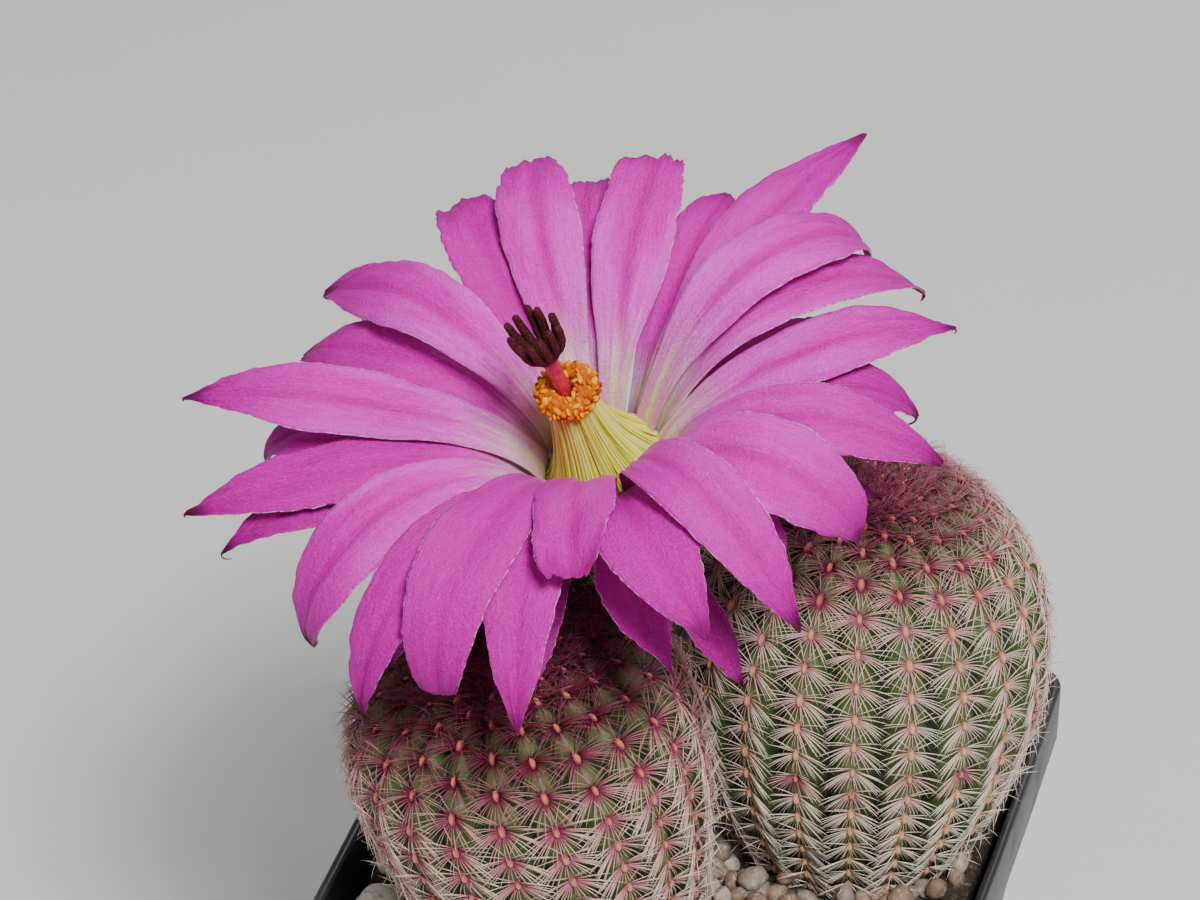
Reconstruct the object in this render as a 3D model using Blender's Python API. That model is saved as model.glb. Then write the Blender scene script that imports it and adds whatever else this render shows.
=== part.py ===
"""Two round hedgehog cacti in one square pot, one of them carrying a single large flower.

Metres, +Z up. The origin is the centre of the pot's underside. +X is the pot's right, +Y its back.
"""

import math
from collections import namedtuple

import bmesh
import bpy
from mathutils import Matrix, Vector, noise

MM = 0.001
FIT_GAP = 0.3 * MM

# Pot
POT_TOP = 76.0 * MM
POT_BASE = 56.0 * MM
POT_HEIGHT = 72.0 * MM
POT_WALL = 1.3 * MM
POT_FLOOR = 2.2 * MM
POT_CORNER = 4.0 * MM
POT_BULGE = 0.4 * MM
BAND_HEIGHT = 10.0 * MM
BAND_STEP = 1.4 * MM
DRAIN_RADIUS = 4.0 * MM
POCKET_SIDE = 15.0 * MM
POCKET_DEPTH = 0.8 * MM

# Soil and gravel
GRAVEL_DROP = 5.0 * MM
GRAVEL_DEPTH = 6.0 * MM
GRAVEL_BUMP = 0.7 * MM
GRAVEL_GRAIN = 160.0
SEAT_CLEARANCE = 0.6 * MM

# The two plants
Plant = namedtuple("Plant", "radius waist top base square ribs lean_x lean_y")
LEFT = Plant(19.4 * MM, 30.0 * MM, 43.2 * MM, 13.2 * MM, 2.25, 21, -0.20, -0.15)
RIGHT = Plant(21.6 * MM, 26.8 * MM, 48.6 * MM, 14.2 * MM, 2.25, 21, 0.0, 0.0)
RIB_DEPTH = 0.7 * MM
DIMPLE_DEPTH = 3.5 * MM
DIMPLE_SPREAD = 0.30
LEFT_X = -8.0 * MM
LEFT_WALL_CLEARANCE = 4.2 * MM
PLANT_TUCK = 2.8 * MM
PLANT_BEARING = 47.7

# Flower
SEAT_BEARING = 70.3
SEAT_HEIGHT = 37.5 * MM
SEAT_LIFT = 0.9 * MM
THROAT_RISE = 17.0 * MM
THROAT_SHIFT = (0.7 * MM, -0.8 * MM)
FLOWER_LEAN = 26.0
FLOWER_LEAN_BEARING = 267.0
TUBE_RADIUS = 4.4 * MM
CUP_RADIUS = 10.4 * MM
FLOOR_RADIUS = 4.9 * MM
WHORL_RADIUS = 6.3 * MM
WHORL_STEP = 1.1 * MM
PETAL_THICKNESS = 0.6 * MM
PETAL_SCALE = 1.0

# Stamens and style
STAMEN_LEAN = (-0.085, -0.41, 0.91)
STYLE_LEAN = (-0.174, -0.427, 0.888)
STAMEN_LENGTH = 17.9 * MM
SKIRT_RADIUS = 5.1 * MM
SKIRT_WALL = 0.7 * MM
ANTHER_RING = 2.8 * MM
ANTHER_TUBE = 1.2 * MM
STYLE_RADIUS = 0.95 * MM
STYLE_REACH = 7.2 * MM
STIGMA_LENGTH = 7.2 * MM
STIGMA_RADIUS = 3.2 * MM
STIGMA_LOBES = 10

# Petals: bearing round the throat, whorl (0 is innermost), length and width in mm, then the slope in
# degrees at the base, a third of the way, two thirds of the way and the tip, the sideways sweep, the
# twist and how much of the width is left at the tip.
Petal = namedtuple("Petal", "bearing whorl length width rise first second last sweep twist tip")
PETALS = [
    Petal(117, 0, 39, 9.4, 61, 28, 1, -47, -2, 0, 0.45),
    Petal(131, 1, 37, 8.8, 66, 26, 0, -48, -2, 10, 0.55),
    Petal(92, 0, 37, 9.4, 58, 28, 5, -35, 5, 0, 0.60),
    Petal(106, 1, 35, 9.0, 60, 26, 0, -52, 4, 0, 0.50),
    Petal(79, 2, 34, 7.0, 58, 29, 6, -56, 3, 0, 0.12),
    Petal(67, 1, 48, 8.2, 58, 26, -10, -19, -5, -8, 0.06),
    Petal(55, 0, 50, 9.6, 67, 41, -20, -96, -10, -8, 0.10),
    Petal(47, 1, 50, 9.0, 71, 38, -29, -71, -13, -26, 0.08),
    Petal(29, 0, 44, 8.6, 62, 27, -2, -52, 7, -10, 0.04),
    Petal(21, 2, 40, 7.0, 70, 36, -4, -95, -6, 0, 0.05),
    Petal(10, 1, 44, 8.8, 79, 38, -14, -62, -6, 0, 0.05),
    Petal(354, 0, 42, 11.0, 78, 46, -14, -95, -13, 12, 0.08),
    Petal(339, 2, 30, 8.0, 94, 46, 2, -96, -4, -4, 0.10),
    Petal(330, 1, 51, 8.6, 98, 61, -3, -63, -14, -12, 0.05),
    Petal(307, 0.4, 44, 10.2, 84, 52, 18, 0, 9, -4, 0.10),
    Petal(298, 1.5, 32, 7.0, 86, 31, 6, 10, 16, -30, 0.05),
    Petal(286, -0.2, 36, 9.0, 102, 64, 24, 10, 2, -4, 0.55),
    Petal(272, 1.2, 47, 8.6, 86, 59, -8, -45, 11, 4, 0.04),
    Petal(255, 0.5, 50, 10.0, 98, 48, 0, -95, 16, -4, 0.30),
    Petal(245, 1.2, 52, 7.6, 85, 47, -15, -89, 7, 0, 0.05),
    Petal(224, 0, 50, 9.6, 76, 38, -26, -95, 16, 0, 0.14),
    Petal(211, 2, 43, 6.6, 82, 25, 8, -44, 1, 0, 0.05),
    Petal(207, 1, 46, 8.2, 80, 28, 1, -10, 0, 0, 0.06),
    Petal(193, 2, 40, 6.4, 76, 26, 8, -92, -3, 0, 0.08),
    Petal(190, 0, 47, 8.8, 78, 25, 13, -23, -1, 4, 0.05),
    Petal(168, 1, 40, 7.8, 79, 32, -13, -58, 11, 0, 0.12),
    Petal(154, 0, 47, 9.2, 83, 38, -27, -53, 16, 0, 0.06),
]
SEPALS = [
    Petal(8, 3, 26, 5.0, 60, 10, -14, -50, 0, 0, 0.05),
    Petal(52, 3, 27, 5.0, 56, 8, -14, -46, 0, 0, 0.05),
    Petal(98, 3, 25, 5.0, 50, 6, -16, -44, 0, 0, 0.05),
    Petal(144, 3, 27, 5.0, 54, 8, -16, -50, 0, 0, 0.05),
    Petal(184, 3, 25, 5.0, 58, 8, -20, -60, 0, 0, 0.05),
    Petal(236, 3, 28, 4.6, 66, 12, -18, -64, 0, 0, 0.05),
    Petal(268, 3, 22, 4.6, 70, 14, -14, -50, 0, 0, 0.05),
    Petal(316, 3, 26, 5.0, 68, 14, -14, -50, 0, 0, 0.05),
]
PETAL_ROWS = 10
PETAL_FINE = 4
PETAL_KNOTS = (0.0, 0.14, 0.32, 0.65, 1.0)
PETAL_WAIST = 0.27
PETAL_WIDEST = 0.62
PETAL_CUP = 0.16

# Loose pebbles: place across and along the pot, length, width and height, all in mm.
PEBBLES = [
    (-31.2, -27.0, 6.0, 4.6, 3.6),
    (-31.6, -19.8, 5.4, 4.2, 3.4),
    (10.2, -28.6, 6.8, 5.0, 4.0),
    (17.4, -25.4, 5.2, 4.4, 3.4),
    (24.6, -27.8, 6.2, 4.8, 3.6),
    (31.4, -23.0, 5.0, 4.2, 3.2),
    (-28.4, 12.0, 6.4, 5.0, 3.8),
    (-12.6, 27.4, 5.8, 4.6, 3.4),
]


def clear_scene():
    for item in list(bpy.data.objects):
        bpy.data.objects.remove(item, do_unlink=True)


def material(name, colour, roughness, metallic=0.0):
    made = bpy.data.materials.new(name)
    made.use_nodes = True
    shader = made.node_tree.nodes["Principled BSDF"]
    shader.inputs["Base Color"].default_value = (*colour, 1.0)
    shader.inputs["Roughness"].default_value = roughness
    shader.inputs["Metallic"].default_value = metallic
    return made


def add_object(name, points, faces, look):
    mesh = bpy.data.meshes.new(name)
    mesh.from_pydata([tuple(point) for point in points], [], faces)
    work = bmesh.new()
    work.from_mesh(mesh)
    bmesh.ops.recalc_face_normals(work, faces=work.faces)
    work.to_mesh(mesh)
    work.free()
    mesh.shade_smooth()
    mesh.set_sharp_from_angle(angle=math.radians(40))
    mesh.materials.append(look)
    made = bpy.data.objects.new(name, mesh)
    bpy.context.scene.collection.objects.link(made)
    return made


def cut(target, name, points, faces):
    """Subtract a closed shape, kept in the scene as a wire cutter."""
    cutter = add_object(name, points, faces, target.data.materials[0])
    cutter.hide_render = True
    cutter.display_type = "WIRE"
    boolean = target.modifiers.new(name, "BOOLEAN")
    boolean.operation = "DIFFERENCE"
    boolean.solver = "EXACT"
    boolean.object = cutter


def skin_loops(loops, closed=False):
    """Faces between equal loops of points; the first and last are capped, or joined when closed."""
    count = len(loops[0])
    points = [point for loop in loops for point in loop]
    faces = []
    pairs = len(loops) if closed else len(loops) - 1
    for row in range(pairs):
        here = row * count
        there = (row + 1) % len(loops) * count
        for step in range(count):
            after = (step + 1) % count
            faces.append((here + step, here + after, there + after, there + step))
    if not closed:
        faces.append(tuple(range(count)))
        faces.append(tuple(range(len(points) - count, len(points))))
    return points, faces


def smooth(value):
    value = min(max(value, 0.0), 1.0)
    return value * value * (3.0 - 2.0 * value)


# ---------------------------------------------------------------- pot

def square_loop(half, corner, height, bulge=0.0):
    """A rounded square of points, its sides bowed outwards by the bulge."""
    points = []
    for side in range(4):
        turn = Matrix.Rotation(math.radians(90 * side), 3, "Z")
        for step in range(5):
            angle = math.radians(-45 + 22.5 * step)
            reach = half - corner
            corner_point = Vector((reach + corner * math.cos(angle + math.radians(45)),
                                   reach + corner * math.sin(angle + math.radians(45)), height))
            points.append(turn @ corner_point)
        points.append(turn @ Vector((0.0, half + bulge, height)))
    return points


def pot_half(height):
    """Half the pot's outer width at a height of its tapered wall."""
    share = height / (POT_HEIGHT - BAND_HEIGHT)
    top = POT_TOP / 2 - BAND_STEP
    return POT_BASE / 2 + (top - POT_BASE / 2) * share


def inner_half(height):
    return pot_half(height) - POT_WALL


def pot_loops():
    band = POT_HEIGHT - BAND_HEIGHT
    rim = POT_TOP / 2
    outer = [
        square_loop(pot_half(0.0) - 0.6 * MM, POT_CORNER, 0.0),
        square_loop(pot_half(0.6 * MM), POT_CORNER, 0.6 * MM),
        square_loop(pot_half(band / 2), POT_CORNER, band / 2, POT_BULGE),
        square_loop(pot_half(band), POT_CORNER, band, POT_BULGE),
        square_loop(rim, POT_CORNER, band + BAND_STEP, POT_BULGE),
        square_loop(rim, POT_CORNER, POT_HEIGHT - 0.4 * MM, POT_BULGE),
        square_loop(rim - 0.4 * MM, POT_CORNER, POT_HEIGHT, POT_BULGE),
    ]
    inner_corner = POT_CORNER - POT_WALL
    inner = [
        square_loop(rim - POT_WALL, inner_corner, POT_HEIGHT, POT_BULGE),
        square_loop(rim - POT_WALL, inner_corner, band + BAND_STEP, POT_BULGE),
        square_loop(inner_half(band), inner_corner, band, POT_BULGE),
        square_loop(inner_half(band / 2), inner_corner, band / 2, POT_BULGE),
        square_loop(inner_half(POT_FLOOR), inner_corner, POT_FLOOR),
    ]
    return outer + inner


def box(centre, size):
    made = bmesh.new()
    bmesh.ops.create_cube(made, size=1.0, matrix=Matrix.Translation(centre) @ Matrix.Diagonal((*size, 1.0)))
    return made


def merge_boxes(centres, size):
    points = []
    faces = []
    for centre in centres:
        made = box(centre, size)
        start = len(points)
        points += [vert.co.copy() for vert in made.verts]
        faces += [tuple(start + vert.index for vert in face.verts) for face in made.faces]
        made.free()
    return points, faces


def drain_holes(centres):
    points = []
    faces = []
    for centre in centres:
        for height in (-2.0 * MM, POT_FLOOR + 2.0 * MM):
            for step in range(16):
                angle = math.tau * step / 16
                points.append(Vector((centre.x + DRAIN_RADIUS * math.cos(angle),
                                      centre.y + DRAIN_RADIUS * math.sin(angle), height)))
        start = len(points) - 32
        for step in range(16):
            after = (step + 1) % 16
            faces.append((start + step, start + after, start + 16 + after, start + 16 + step))
        faces.append(tuple(start + step for step in range(16)))
        faces.append(tuple(start + 16 + step for step in range(16)))
    return points, faces


def build_pot(look):
    points, faces = skin_loops(pot_loops())
    pot = add_object("pot", points, faces, look)
    reach = POT_BASE / 2 - POCKET_SIDE / 2 - 4.0 * MM
    centres = [Vector((x * reach, y * reach, 0.0)) for x in (-1, 1) for y in (-1, 1)]
    cut(pot, "pocket_cutter", *merge_boxes(centres, (POCKET_SIDE, POCKET_SIDE, 2 * POCKET_DEPTH)))
    cut(pot, "drain_cutter", *drain_holes(centres))
    return pot


# ---------------------------------------------------------------- plants

def left_origin():
    ground = POT_HEIGHT - GRAVEL_DROP
    reach = POT_TOP / 2 - POT_WALL - LEFT_WALL_CLEARANCE - LEFT.base
    return Vector((LEFT_X, -reach, ground))


def right_origin():
    """Beside the left plant, tucked in as far as its outward lean allows."""
    spread = LEFT.radius + RIGHT.radius - PLANT_TUCK
    bearing = math.radians(PLANT_BEARING)
    return left_origin() + spread * Vector((math.cos(bearing), math.sin(bearing), 0.0))


def plant_frame(plant, origin):
    """Turn and place: a plant's own Z is its leaning axis."""
    axis = Vector((plant.lean_x, plant.lean_y, 1.0)).normalized()
    side = Vector((0.0, 1.0, 0.0)).cross(axis).normalized()
    turn = Matrix((side, axis.cross(side), axis)).transposed().to_4x4()
    return Matrix.Translation(origin) @ turn


def plant_radius(plant, height):
    """Mean skin radius at a height on the plant's axis, without the dimple."""
    if height < plant.waist:
        rise = math.sin(max(height, 0.0) / plant.waist * math.pi / 2)
        return plant.base + (plant.radius - plant.base) * rise
    share = min((height - plant.waist) / (plant.top - plant.waist), 1.0)
    return plant.radius * (1.0 - share ** plant.square) ** (1.0 / plant.square)


def plant_foot(plant):
    """How far the plant goes below the gravel's top, so that a leaning foot clears the soil."""
    lean = math.hypot(plant.lean_x, plant.lean_y)
    return GRAVEL_DEPTH - 2 * FIT_GAP - (plant.base + RIB_DEPTH) * lean


def plant_profile(plant, foot):
    """Radius and height pairs from below the ground up into the dimple at the tip."""
    pairs = [(plant.base, -foot)]
    pairs += [(plant_radius(plant, plant.waist * step / 5), plant.waist * step / 5) for step in range(6)]
    for step in range(1, 9):
        angle = math.pi / 2 * step / 9
        share = math.sin(angle) ** (2.0 / plant.square)
        height = plant.waist + (plant.top - plant.waist) * share
        radius = plant_radius(plant, height)
        near = smooth(1.0 - radius / (DIMPLE_SPREAD * plant.radius))
        pairs.append((radius, height - DIMPLE_DEPTH * near))
    return pairs


def plant_loops(plant, foot, swell=0.0, ribbed=True):
    loops = []
    for radius, height in plant_profile(plant, foot):
        loop = []
        for step in range(2 * plant.ribs):
            angle = math.tau * step / (2 * plant.ribs)
            wave = RIB_DEPTH * (1 if step % 2 else -1) * min(1.0, radius / (0.5 * plant.radius))
            reach = radius + swell + (wave if ribbed else 0.0)
            loop.append(Vector((reach * math.cos(angle), reach * math.sin(angle), height)))
        loops.append(loop)
    return loops


def build_plant(name, plant, origin, look):
    frame = plant_frame(plant, origin)
    loops = plant_loops(plant, plant_foot(plant))
    points, faces = skin_loops(loops)
    faces.pop()
    top = Vector((0.0, 0.0, plant.top - DIMPLE_DEPTH))
    count = len(loops[0])
    start = len(points) - count
    points.append(top)
    for step in range(count):
        faces.append((start + step, start + (step + 1) % count, len(points) - 1))
    return add_object(name, [frame @ point for point in points], faces, look)


# ---------------------------------------------------------------- soil and gravel

def slab(half_low, half_high, low, high, cells, bump):
    """A block that fills the pot's hollow, with a bumpy top on a grid."""
    corner = POT_CORNER - POT_WALL
    rings = []
    for share in [step / cells for step in range(cells, 0, -1)]:
        half = half_high * share
        ring = square_loop(half, corner * share, high)
        for point in ring:
            fade = smooth((1.0 - share) * 6.0)
            point.z += bump * fade * noise.noise(point * GRAVEL_GRAIN)
        rings.append(ring)
    loops = [square_loop(half_low, corner, low)] + rings
    points, faces = skin_loops(loops)
    return points, faces


def build_soil(look):
    low = POT_FLOOR + FIT_GAP
    high = POT_HEIGHT - GRAVEL_DROP - GRAVEL_DEPTH - FIT_GAP
    points, faces = slab(inner_half(low) - FIT_GAP, inner_half(high) - FIT_GAP, low, high, 1, 0.0)
    return add_object("soil", points, faces, look)


def seat_cutter(bed, name, plant, origin):
    """A hole in the gravel that follows the plant's foot with a clearance."""
    frame = plant_frame(plant, origin)
    foot = GRAVEL_DEPTH + 3.0 * MM
    loops = []
    for height in (-foot, 0.0, 2.5 * MM, 5.0 * MM):
        radius = plant_radius(plant, height) + RIB_DEPTH + SEAT_CLEARANCE
        turns = [math.tau * step / 32 for step in range(32)]
        loops.append([frame @ Vector((radius * math.cos(t), radius * math.sin(t), height)) for t in turns])
    points, faces = skin_loops(loops)
    cut(bed, name, points, faces)


def build_gravel(look):
    high = POT_HEIGHT - GRAVEL_DROP
    low = high - GRAVEL_DEPTH
    points, faces = slab(inner_half(low) - FIT_GAP, inner_half(low) - FIT_GAP, low, high, 6, GRAVEL_BUMP)
    bed = add_object("gravel_bed", points, faces, look)
    seat_cutter(bed, "left_seat_cutter", LEFT, left_origin())
    seat_cutter(bed, "right_seat_cutter", RIGHT, right_origin())
    return bed


def build_pebble(name, place, look):
    """A worn stone: a faceted ball, squashed and gently dented."""
    across, along, length, width, height = [value * MM for value in place]
    work = bmesh.new()
    bmesh.ops.create_icosphere(work, subdivisions=1, radius=1.0)
    rest = POT_HEIGHT - GRAVEL_DROP + GRAVEL_BUMP * 0.6 + FIT_GAP + height / 2
    for vert in work.verts:
        dent = 1.0 + 0.12 * noise.noise(vert.co * 1.3 + Vector(place[:3]))
        shaped = Vector((vert.co.x * length / 2, vert.co.y * width / 2, vert.co.z * height / 2)) * dent
        vert.co = shaped + Vector((across, along, rest))
    points = [vert.co.copy() for vert in work.verts]
    faces = [tuple(vert.index for vert in face.verts) for face in work.faces]
    work.free()
    return add_object(name, points, faces, look)


# ---------------------------------------------------------------- flower

def seat_point():
    """Where the flower's tube leaves the left plant, and the skin's outward direction there."""
    frame = plant_frame(LEFT, left_origin())
    bearing = math.radians(SEAT_BEARING)
    out = Vector((math.cos(bearing), math.sin(bearing), 0.0))
    step = 0.2 * MM
    here = plant_radius(LEFT, SEAT_HEIGHT)
    slope = (plant_radius(LEFT, SEAT_HEIGHT - step) - here) / step
    normal = (out + Vector((0.0, 0.0, slope))).normalized()
    point = out * here + Vector((0.0, 0.0, SEAT_HEIGHT)) + normal * (SEAT_LIFT + RIB_DEPTH)
    return frame @ point, (frame.to_3x3() @ normal).normalized()


def flower_frame():
    """Origin at the throat's centre, Z along the flower's leaning axis, X towards the pot's right."""
    lean = math.radians(FLOWER_LEAN)
    bearing = math.radians(FLOWER_LEAN_BEARING)
    axis = Vector((math.sin(lean) * math.cos(bearing), math.sin(lean) * math.sin(bearing), math.cos(lean)))
    right = (Vector((1.0, 0.0, 0.0)) - axis * axis.x).normalized()
    turn = Matrix((right, axis.cross(right), axis)).transposed().to_4x4()
    seat = seat_point()[0]
    throat = seat + Vector((*THROAT_SHIFT, THROAT_RISE))
    return Matrix.Translation(throat) @ turn


def swept_loops(path, radii, sides):
    """Round loops along a path, each square to it."""
    loops = []
    for index, (point, radius) in enumerate(zip(path, radii)):
        before = path[max(index - 1, 0)]
        after = path[min(index + 1, len(path) - 1)]
        along = (after - before).normalized()
        side = along.cross(Vector((0.0, 1.0, 0.0))).normalized()
        other = along.cross(side)
        turns = [math.tau * step / sides for step in range(sides)]
        loops.append([point + radius * (math.cos(t) * side + math.sin(t) * other) for t in turns])
    return loops


def bezier(start, start_pull, end_pull, end, count):
    path = []
    for step in range(count + 1):
        t = step / count
        u = 1.0 - t
        path.append(start * u ** 3 + start_pull * 3 * u * u * t + end_pull * 3 * u * t * t + end * t ** 3)
    return path


def build_tube(look):
    """The spiny flower tube: it leaves the skin squarely, turns up and widens into the cup."""
    frame = flower_frame()
    axis = frame.to_3x3() @ Vector((0.0, 0.0, 1.0))
    seat, normal = seat_point()
    rim_drop = CUP_RADIUS - WHORL_RADIUS + 1.6 * MM
    cup = frame.translation - axis * rim_drop
    path = bezier(seat, seat + normal * 4.0 * MM, cup - axis * 5.0 * MM, cup, 8)
    radii = [TUBE_RADIUS + (CUP_RADIUS - TUBE_RADIUS) * smooth(step / 8 * 1.25 - 0.25) for step in range(9)]
    loops = swept_loops(path, radii, 20)
    crown = [(CUP_RADIUS, -rim_drop + 0.6 * MM), (FLOOR_RADIUS, -0.9 * MM)]
    for radius, height in crown:
        loops.append([frame @ Vector((radius * math.cos(t), radius * math.sin(t), height))
                      for t in loop_turns(loops[-1], frame)])
    points, faces = skin_loops(loops)
    return add_object("flower_tube", points, faces, look)


def loop_turns(loop, frame):
    """The angle of each point of a loop round the flower's axis."""
    back = frame.inverted()
    return [math.atan2((back @ point).y, (back @ point).x) for point in loop]


def along(knots, values, share):
    """A value read from knots joined by straight runs."""
    for index in range(len(knots) - 1):
        if share <= knots[index + 1]:
            part = (share - knots[index]) / (knots[index + 1] - knots[index])
            return values[index] + (values[index + 1] - values[index]) * part
    return values[-1]


def petal_width(petal, share):
    width = petal.width * MM * PETAL_SCALE
    if share < PETAL_WIDEST:
        grown = math.sin(math.pi / 2 * (share / PETAL_WIDEST) ** 1.25) ** 2
        return width * (PETAL_WAIST + (1.0 - PETAL_WAIST) * grown)
    past = (share - PETAL_WIDEST) / (1.0 - PETAL_WIDEST)
    return width * (petal.tip + (1.0 - petal.tip) * (1.0 - past ** 2.2))


def petal_points(petal, rows):
    """Left edge, midrib and right edge of a petal in the flower's frame, from base to tip."""
    length = petal.length * MM * PETAL_SCALE
    base = WHORL_RADIUS + WHORL_STEP * petal.whorl
    bearing = math.radians(petal.bearing)
    point = Vector((base * math.cos(bearing), base * math.sin(bearing), -WHORL_STEP * petal.whorl))
    slopes = (petal.rise, petal.rise * 0.62 + petal.first * 0.38, petal.first, petal.second, petal.last)
    lines = []
    steps = rows * PETAL_FINE
    for step in range(steps + 1):
        share = step / steps
        slope = math.radians(along(PETAL_KNOTS, slopes, share))
        heading = bearing + math.radians(petal.sweep) * share ** 2
        ahead = Vector((math.cos(slope) * math.cos(heading), math.cos(slope) * math.sin(heading),
                        math.sin(slope)))
        if step % PETAL_FINE == 0:
            level = Vector((-math.sin(heading), math.cos(heading), 0.0))
            side = Matrix.Rotation(math.radians(petal.twist) * share ** 2, 3, ahead) @ level
            up = ahead.cross(side)
            half = petal_width(petal, share) / 2
            lift = up * half * PETAL_CUP * (1.0 - share)
            lines.append((point + side * half + lift, point.copy(), point - side * half + lift))
        point = point + ahead * (length / steps)
    return lines


def build_petal(name, petal, look):
    frame = flower_frame()
    lines = petal_points(petal, PETAL_ROWS)
    points = [frame @ point for line in lines for point in line]
    faces = []
    for row in range(PETAL_ROWS):
        for column in range(2):
            corner = row * 3 + column
            faces.append((corner, corner + 1, corner + 4, corner + 3))
    made = add_object(name, points, faces, look)
    thick = made.modifiers.new("thickness", "SOLIDIFY")
    thick.thickness = PETAL_THICKNESS
    thick.offset = 0.0
    thick.use_even_offset = True
    return made


def stamen_path(length, start=0.0):
    frame = flower_frame()
    axis = Vector(STAMEN_LEAN).normalized()
    return frame.translation + axis * start, frame.translation + axis * length


def build_filaments(look):
    """A hollow skirt of crowded filaments that narrows up to the ring of anthers."""
    start, end = stamen_path(STAMEN_LENGTH - ANTHER_TUBE - FIT_GAP, 1.2 * MM)
    shares = (0.0, 0.25, 0.5, 0.75, 1.0)
    path = [start.lerp(end, share) for share in shares]
    outer = [SKIRT_RADIUS + (ANTHER_RING - SKIRT_RADIUS) * smooth(0.85 * share + 0.15) for share in shares]
    loops = swept_loops(path, outer, 20)
    loops += reversed(swept_loops(path, [radius - SKIRT_WALL for radius in outer], 20))
    points, faces = skin_loops(loops, closed=True)
    return add_object("filaments", points, faces, look)


def build_anthers(look):
    centre = stamen_path(STAMEN_LENGTH)[1]
    axis = Vector(STAMEN_LEAN).normalized()
    side = axis.cross(Vector((0.0, 1.0, 0.0))).normalized()
    other = axis.cross(side)
    loops = []
    for step in range(20):
        angle = math.tau * step / 20
        out = side * math.cos(angle) + other * math.sin(angle)
        hub = centre + out * ANTHER_RING
        turns = [math.tau * part / 8 for part in range(8)]
        loops.append([hub + ANTHER_TUBE * (out * math.cos(t) + axis * math.sin(t)) for t in turns])
    points, faces = skin_loops(loops, closed=True)
    return add_object("anther_ring", points, faces, look)


def style_path(start=0.0, end=0.0):
    """From the ring of anthers on, the style leans a little more to the left."""
    centre = stamen_path(STAMEN_LENGTH)[1]
    axis = Vector(STYLE_LEAN).normalized()
    return centre + axis * start, centre + axis * end


def build_style(look):
    """It rises inside the skirt of filaments and passes through the ring of anthers."""
    start, bend = stamen_path(STAMEN_LENGTH, -0.3 * MM)
    end = style_path(0.0, STYLE_REACH)[1]
    path = bezier(start, start.lerp(bend, 0.6), bend, end, 6)
    points, faces = skin_loops(swept_loops(path, [STYLE_RADIUS] * len(path), 12))
    return add_object("style", points, faces, look)


def build_stigma(look):
    """A half-open hand of lobes, grown together at its foot."""
    start, end = style_path(STYLE_REACH + FIT_GAP, STYLE_REACH + STIGMA_LENGTH)
    axis = (end - start).normalized()
    side = axis.cross(Vector((0.0, 1.0, 0.0))).normalized()
    other = axis.cross(side)
    loops = []
    for share, spread in ((0.0, 0.38), (0.18, 0.62), (0.5, 0.82), (0.85, 1.0), (1.0, 0.86)):
        loop = []
        for step in range(2 * STIGMA_LOBES):
            angle = math.tau * step / (2 * STIGMA_LOBES)
            notch = 1.0 if step % 2 else 1.0 - 0.28 * smooth(share * 3.0)
            reach = STIGMA_RADIUS * spread * notch
            out = side * math.cos(angle) + other * math.sin(angle)
            loop.append(start.lerp(end, share) + out * reach)
        loops.append(loop)
    points, faces = skin_loops(loops)
    return add_object("stigma", points, faces, look)


def main():
    clear_scene()
    build_pot(material("pot_plastic", (0.02, 0.02, 0.022), 0.42))
    build_soil(material("soil", (0.05, 0.035, 0.025), 0.95))
    build_gravel(material("gravel", (0.45, 0.40, 0.34), 0.8))
    stone = material("pebble_stone", (0.62, 0.57, 0.50), 0.7)
    for index, place in enumerate(PEBBLES):
        build_pebble(f"pebble_{index + 1}", place, stone)
    skin = material("cactus_skin", (0.20, 0.27, 0.12), 0.55)
    build_plant("cactus_left", LEFT, left_origin(), skin)
    build_plant("cactus_right", RIGHT, right_origin(), skin)
    build_tube(material("flower_tube_skin", (0.30, 0.22, 0.14), 0.6))
    pink = material("petal", (0.68, 0.05, 0.60), 0.45)
    for index, petal in enumerate(PETALS):
        build_petal(f"petal_{index + 1:02d}", petal, pink)
    dark = material("sepal", (0.40, 0.08, 0.24), 0.5)
    for index, sepal in enumerate(SEPALS):
        build_petal(f"sepal_{index + 1}", sepal, dark)
    build_filaments(material("filament", (0.90, 0.82, 0.35), 0.5))
    build_anthers(material("anther", (0.95, 0.45, 0.05), 0.8))
    build_style(material("style", (0.65, 0.05, 0.15), 0.4))
    build_stigma(material("stigma", (0.10, 0.02, 0.03), 0.6))


main()
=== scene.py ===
# %% [markdown]
# # A potted pair of round cacti with one large flower
#
# The object is a square nursery pot with two spiny, round cacti and a single magenta flower about as
# wide as the pot. Its plain solids already exist: every one is imported first and gives the places and
# sizes. This lesson then makes the fine surface of each of them: ribs, spines, petals with veins,
# threads, grains and stones.
#
# Everything is in metres, +Z up. The origin is the centre of the pot's underside.

import math
import random
from collections import namedtuple

import bmesh
import bpy
from mathutils import Matrix, Vector, noise


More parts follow.
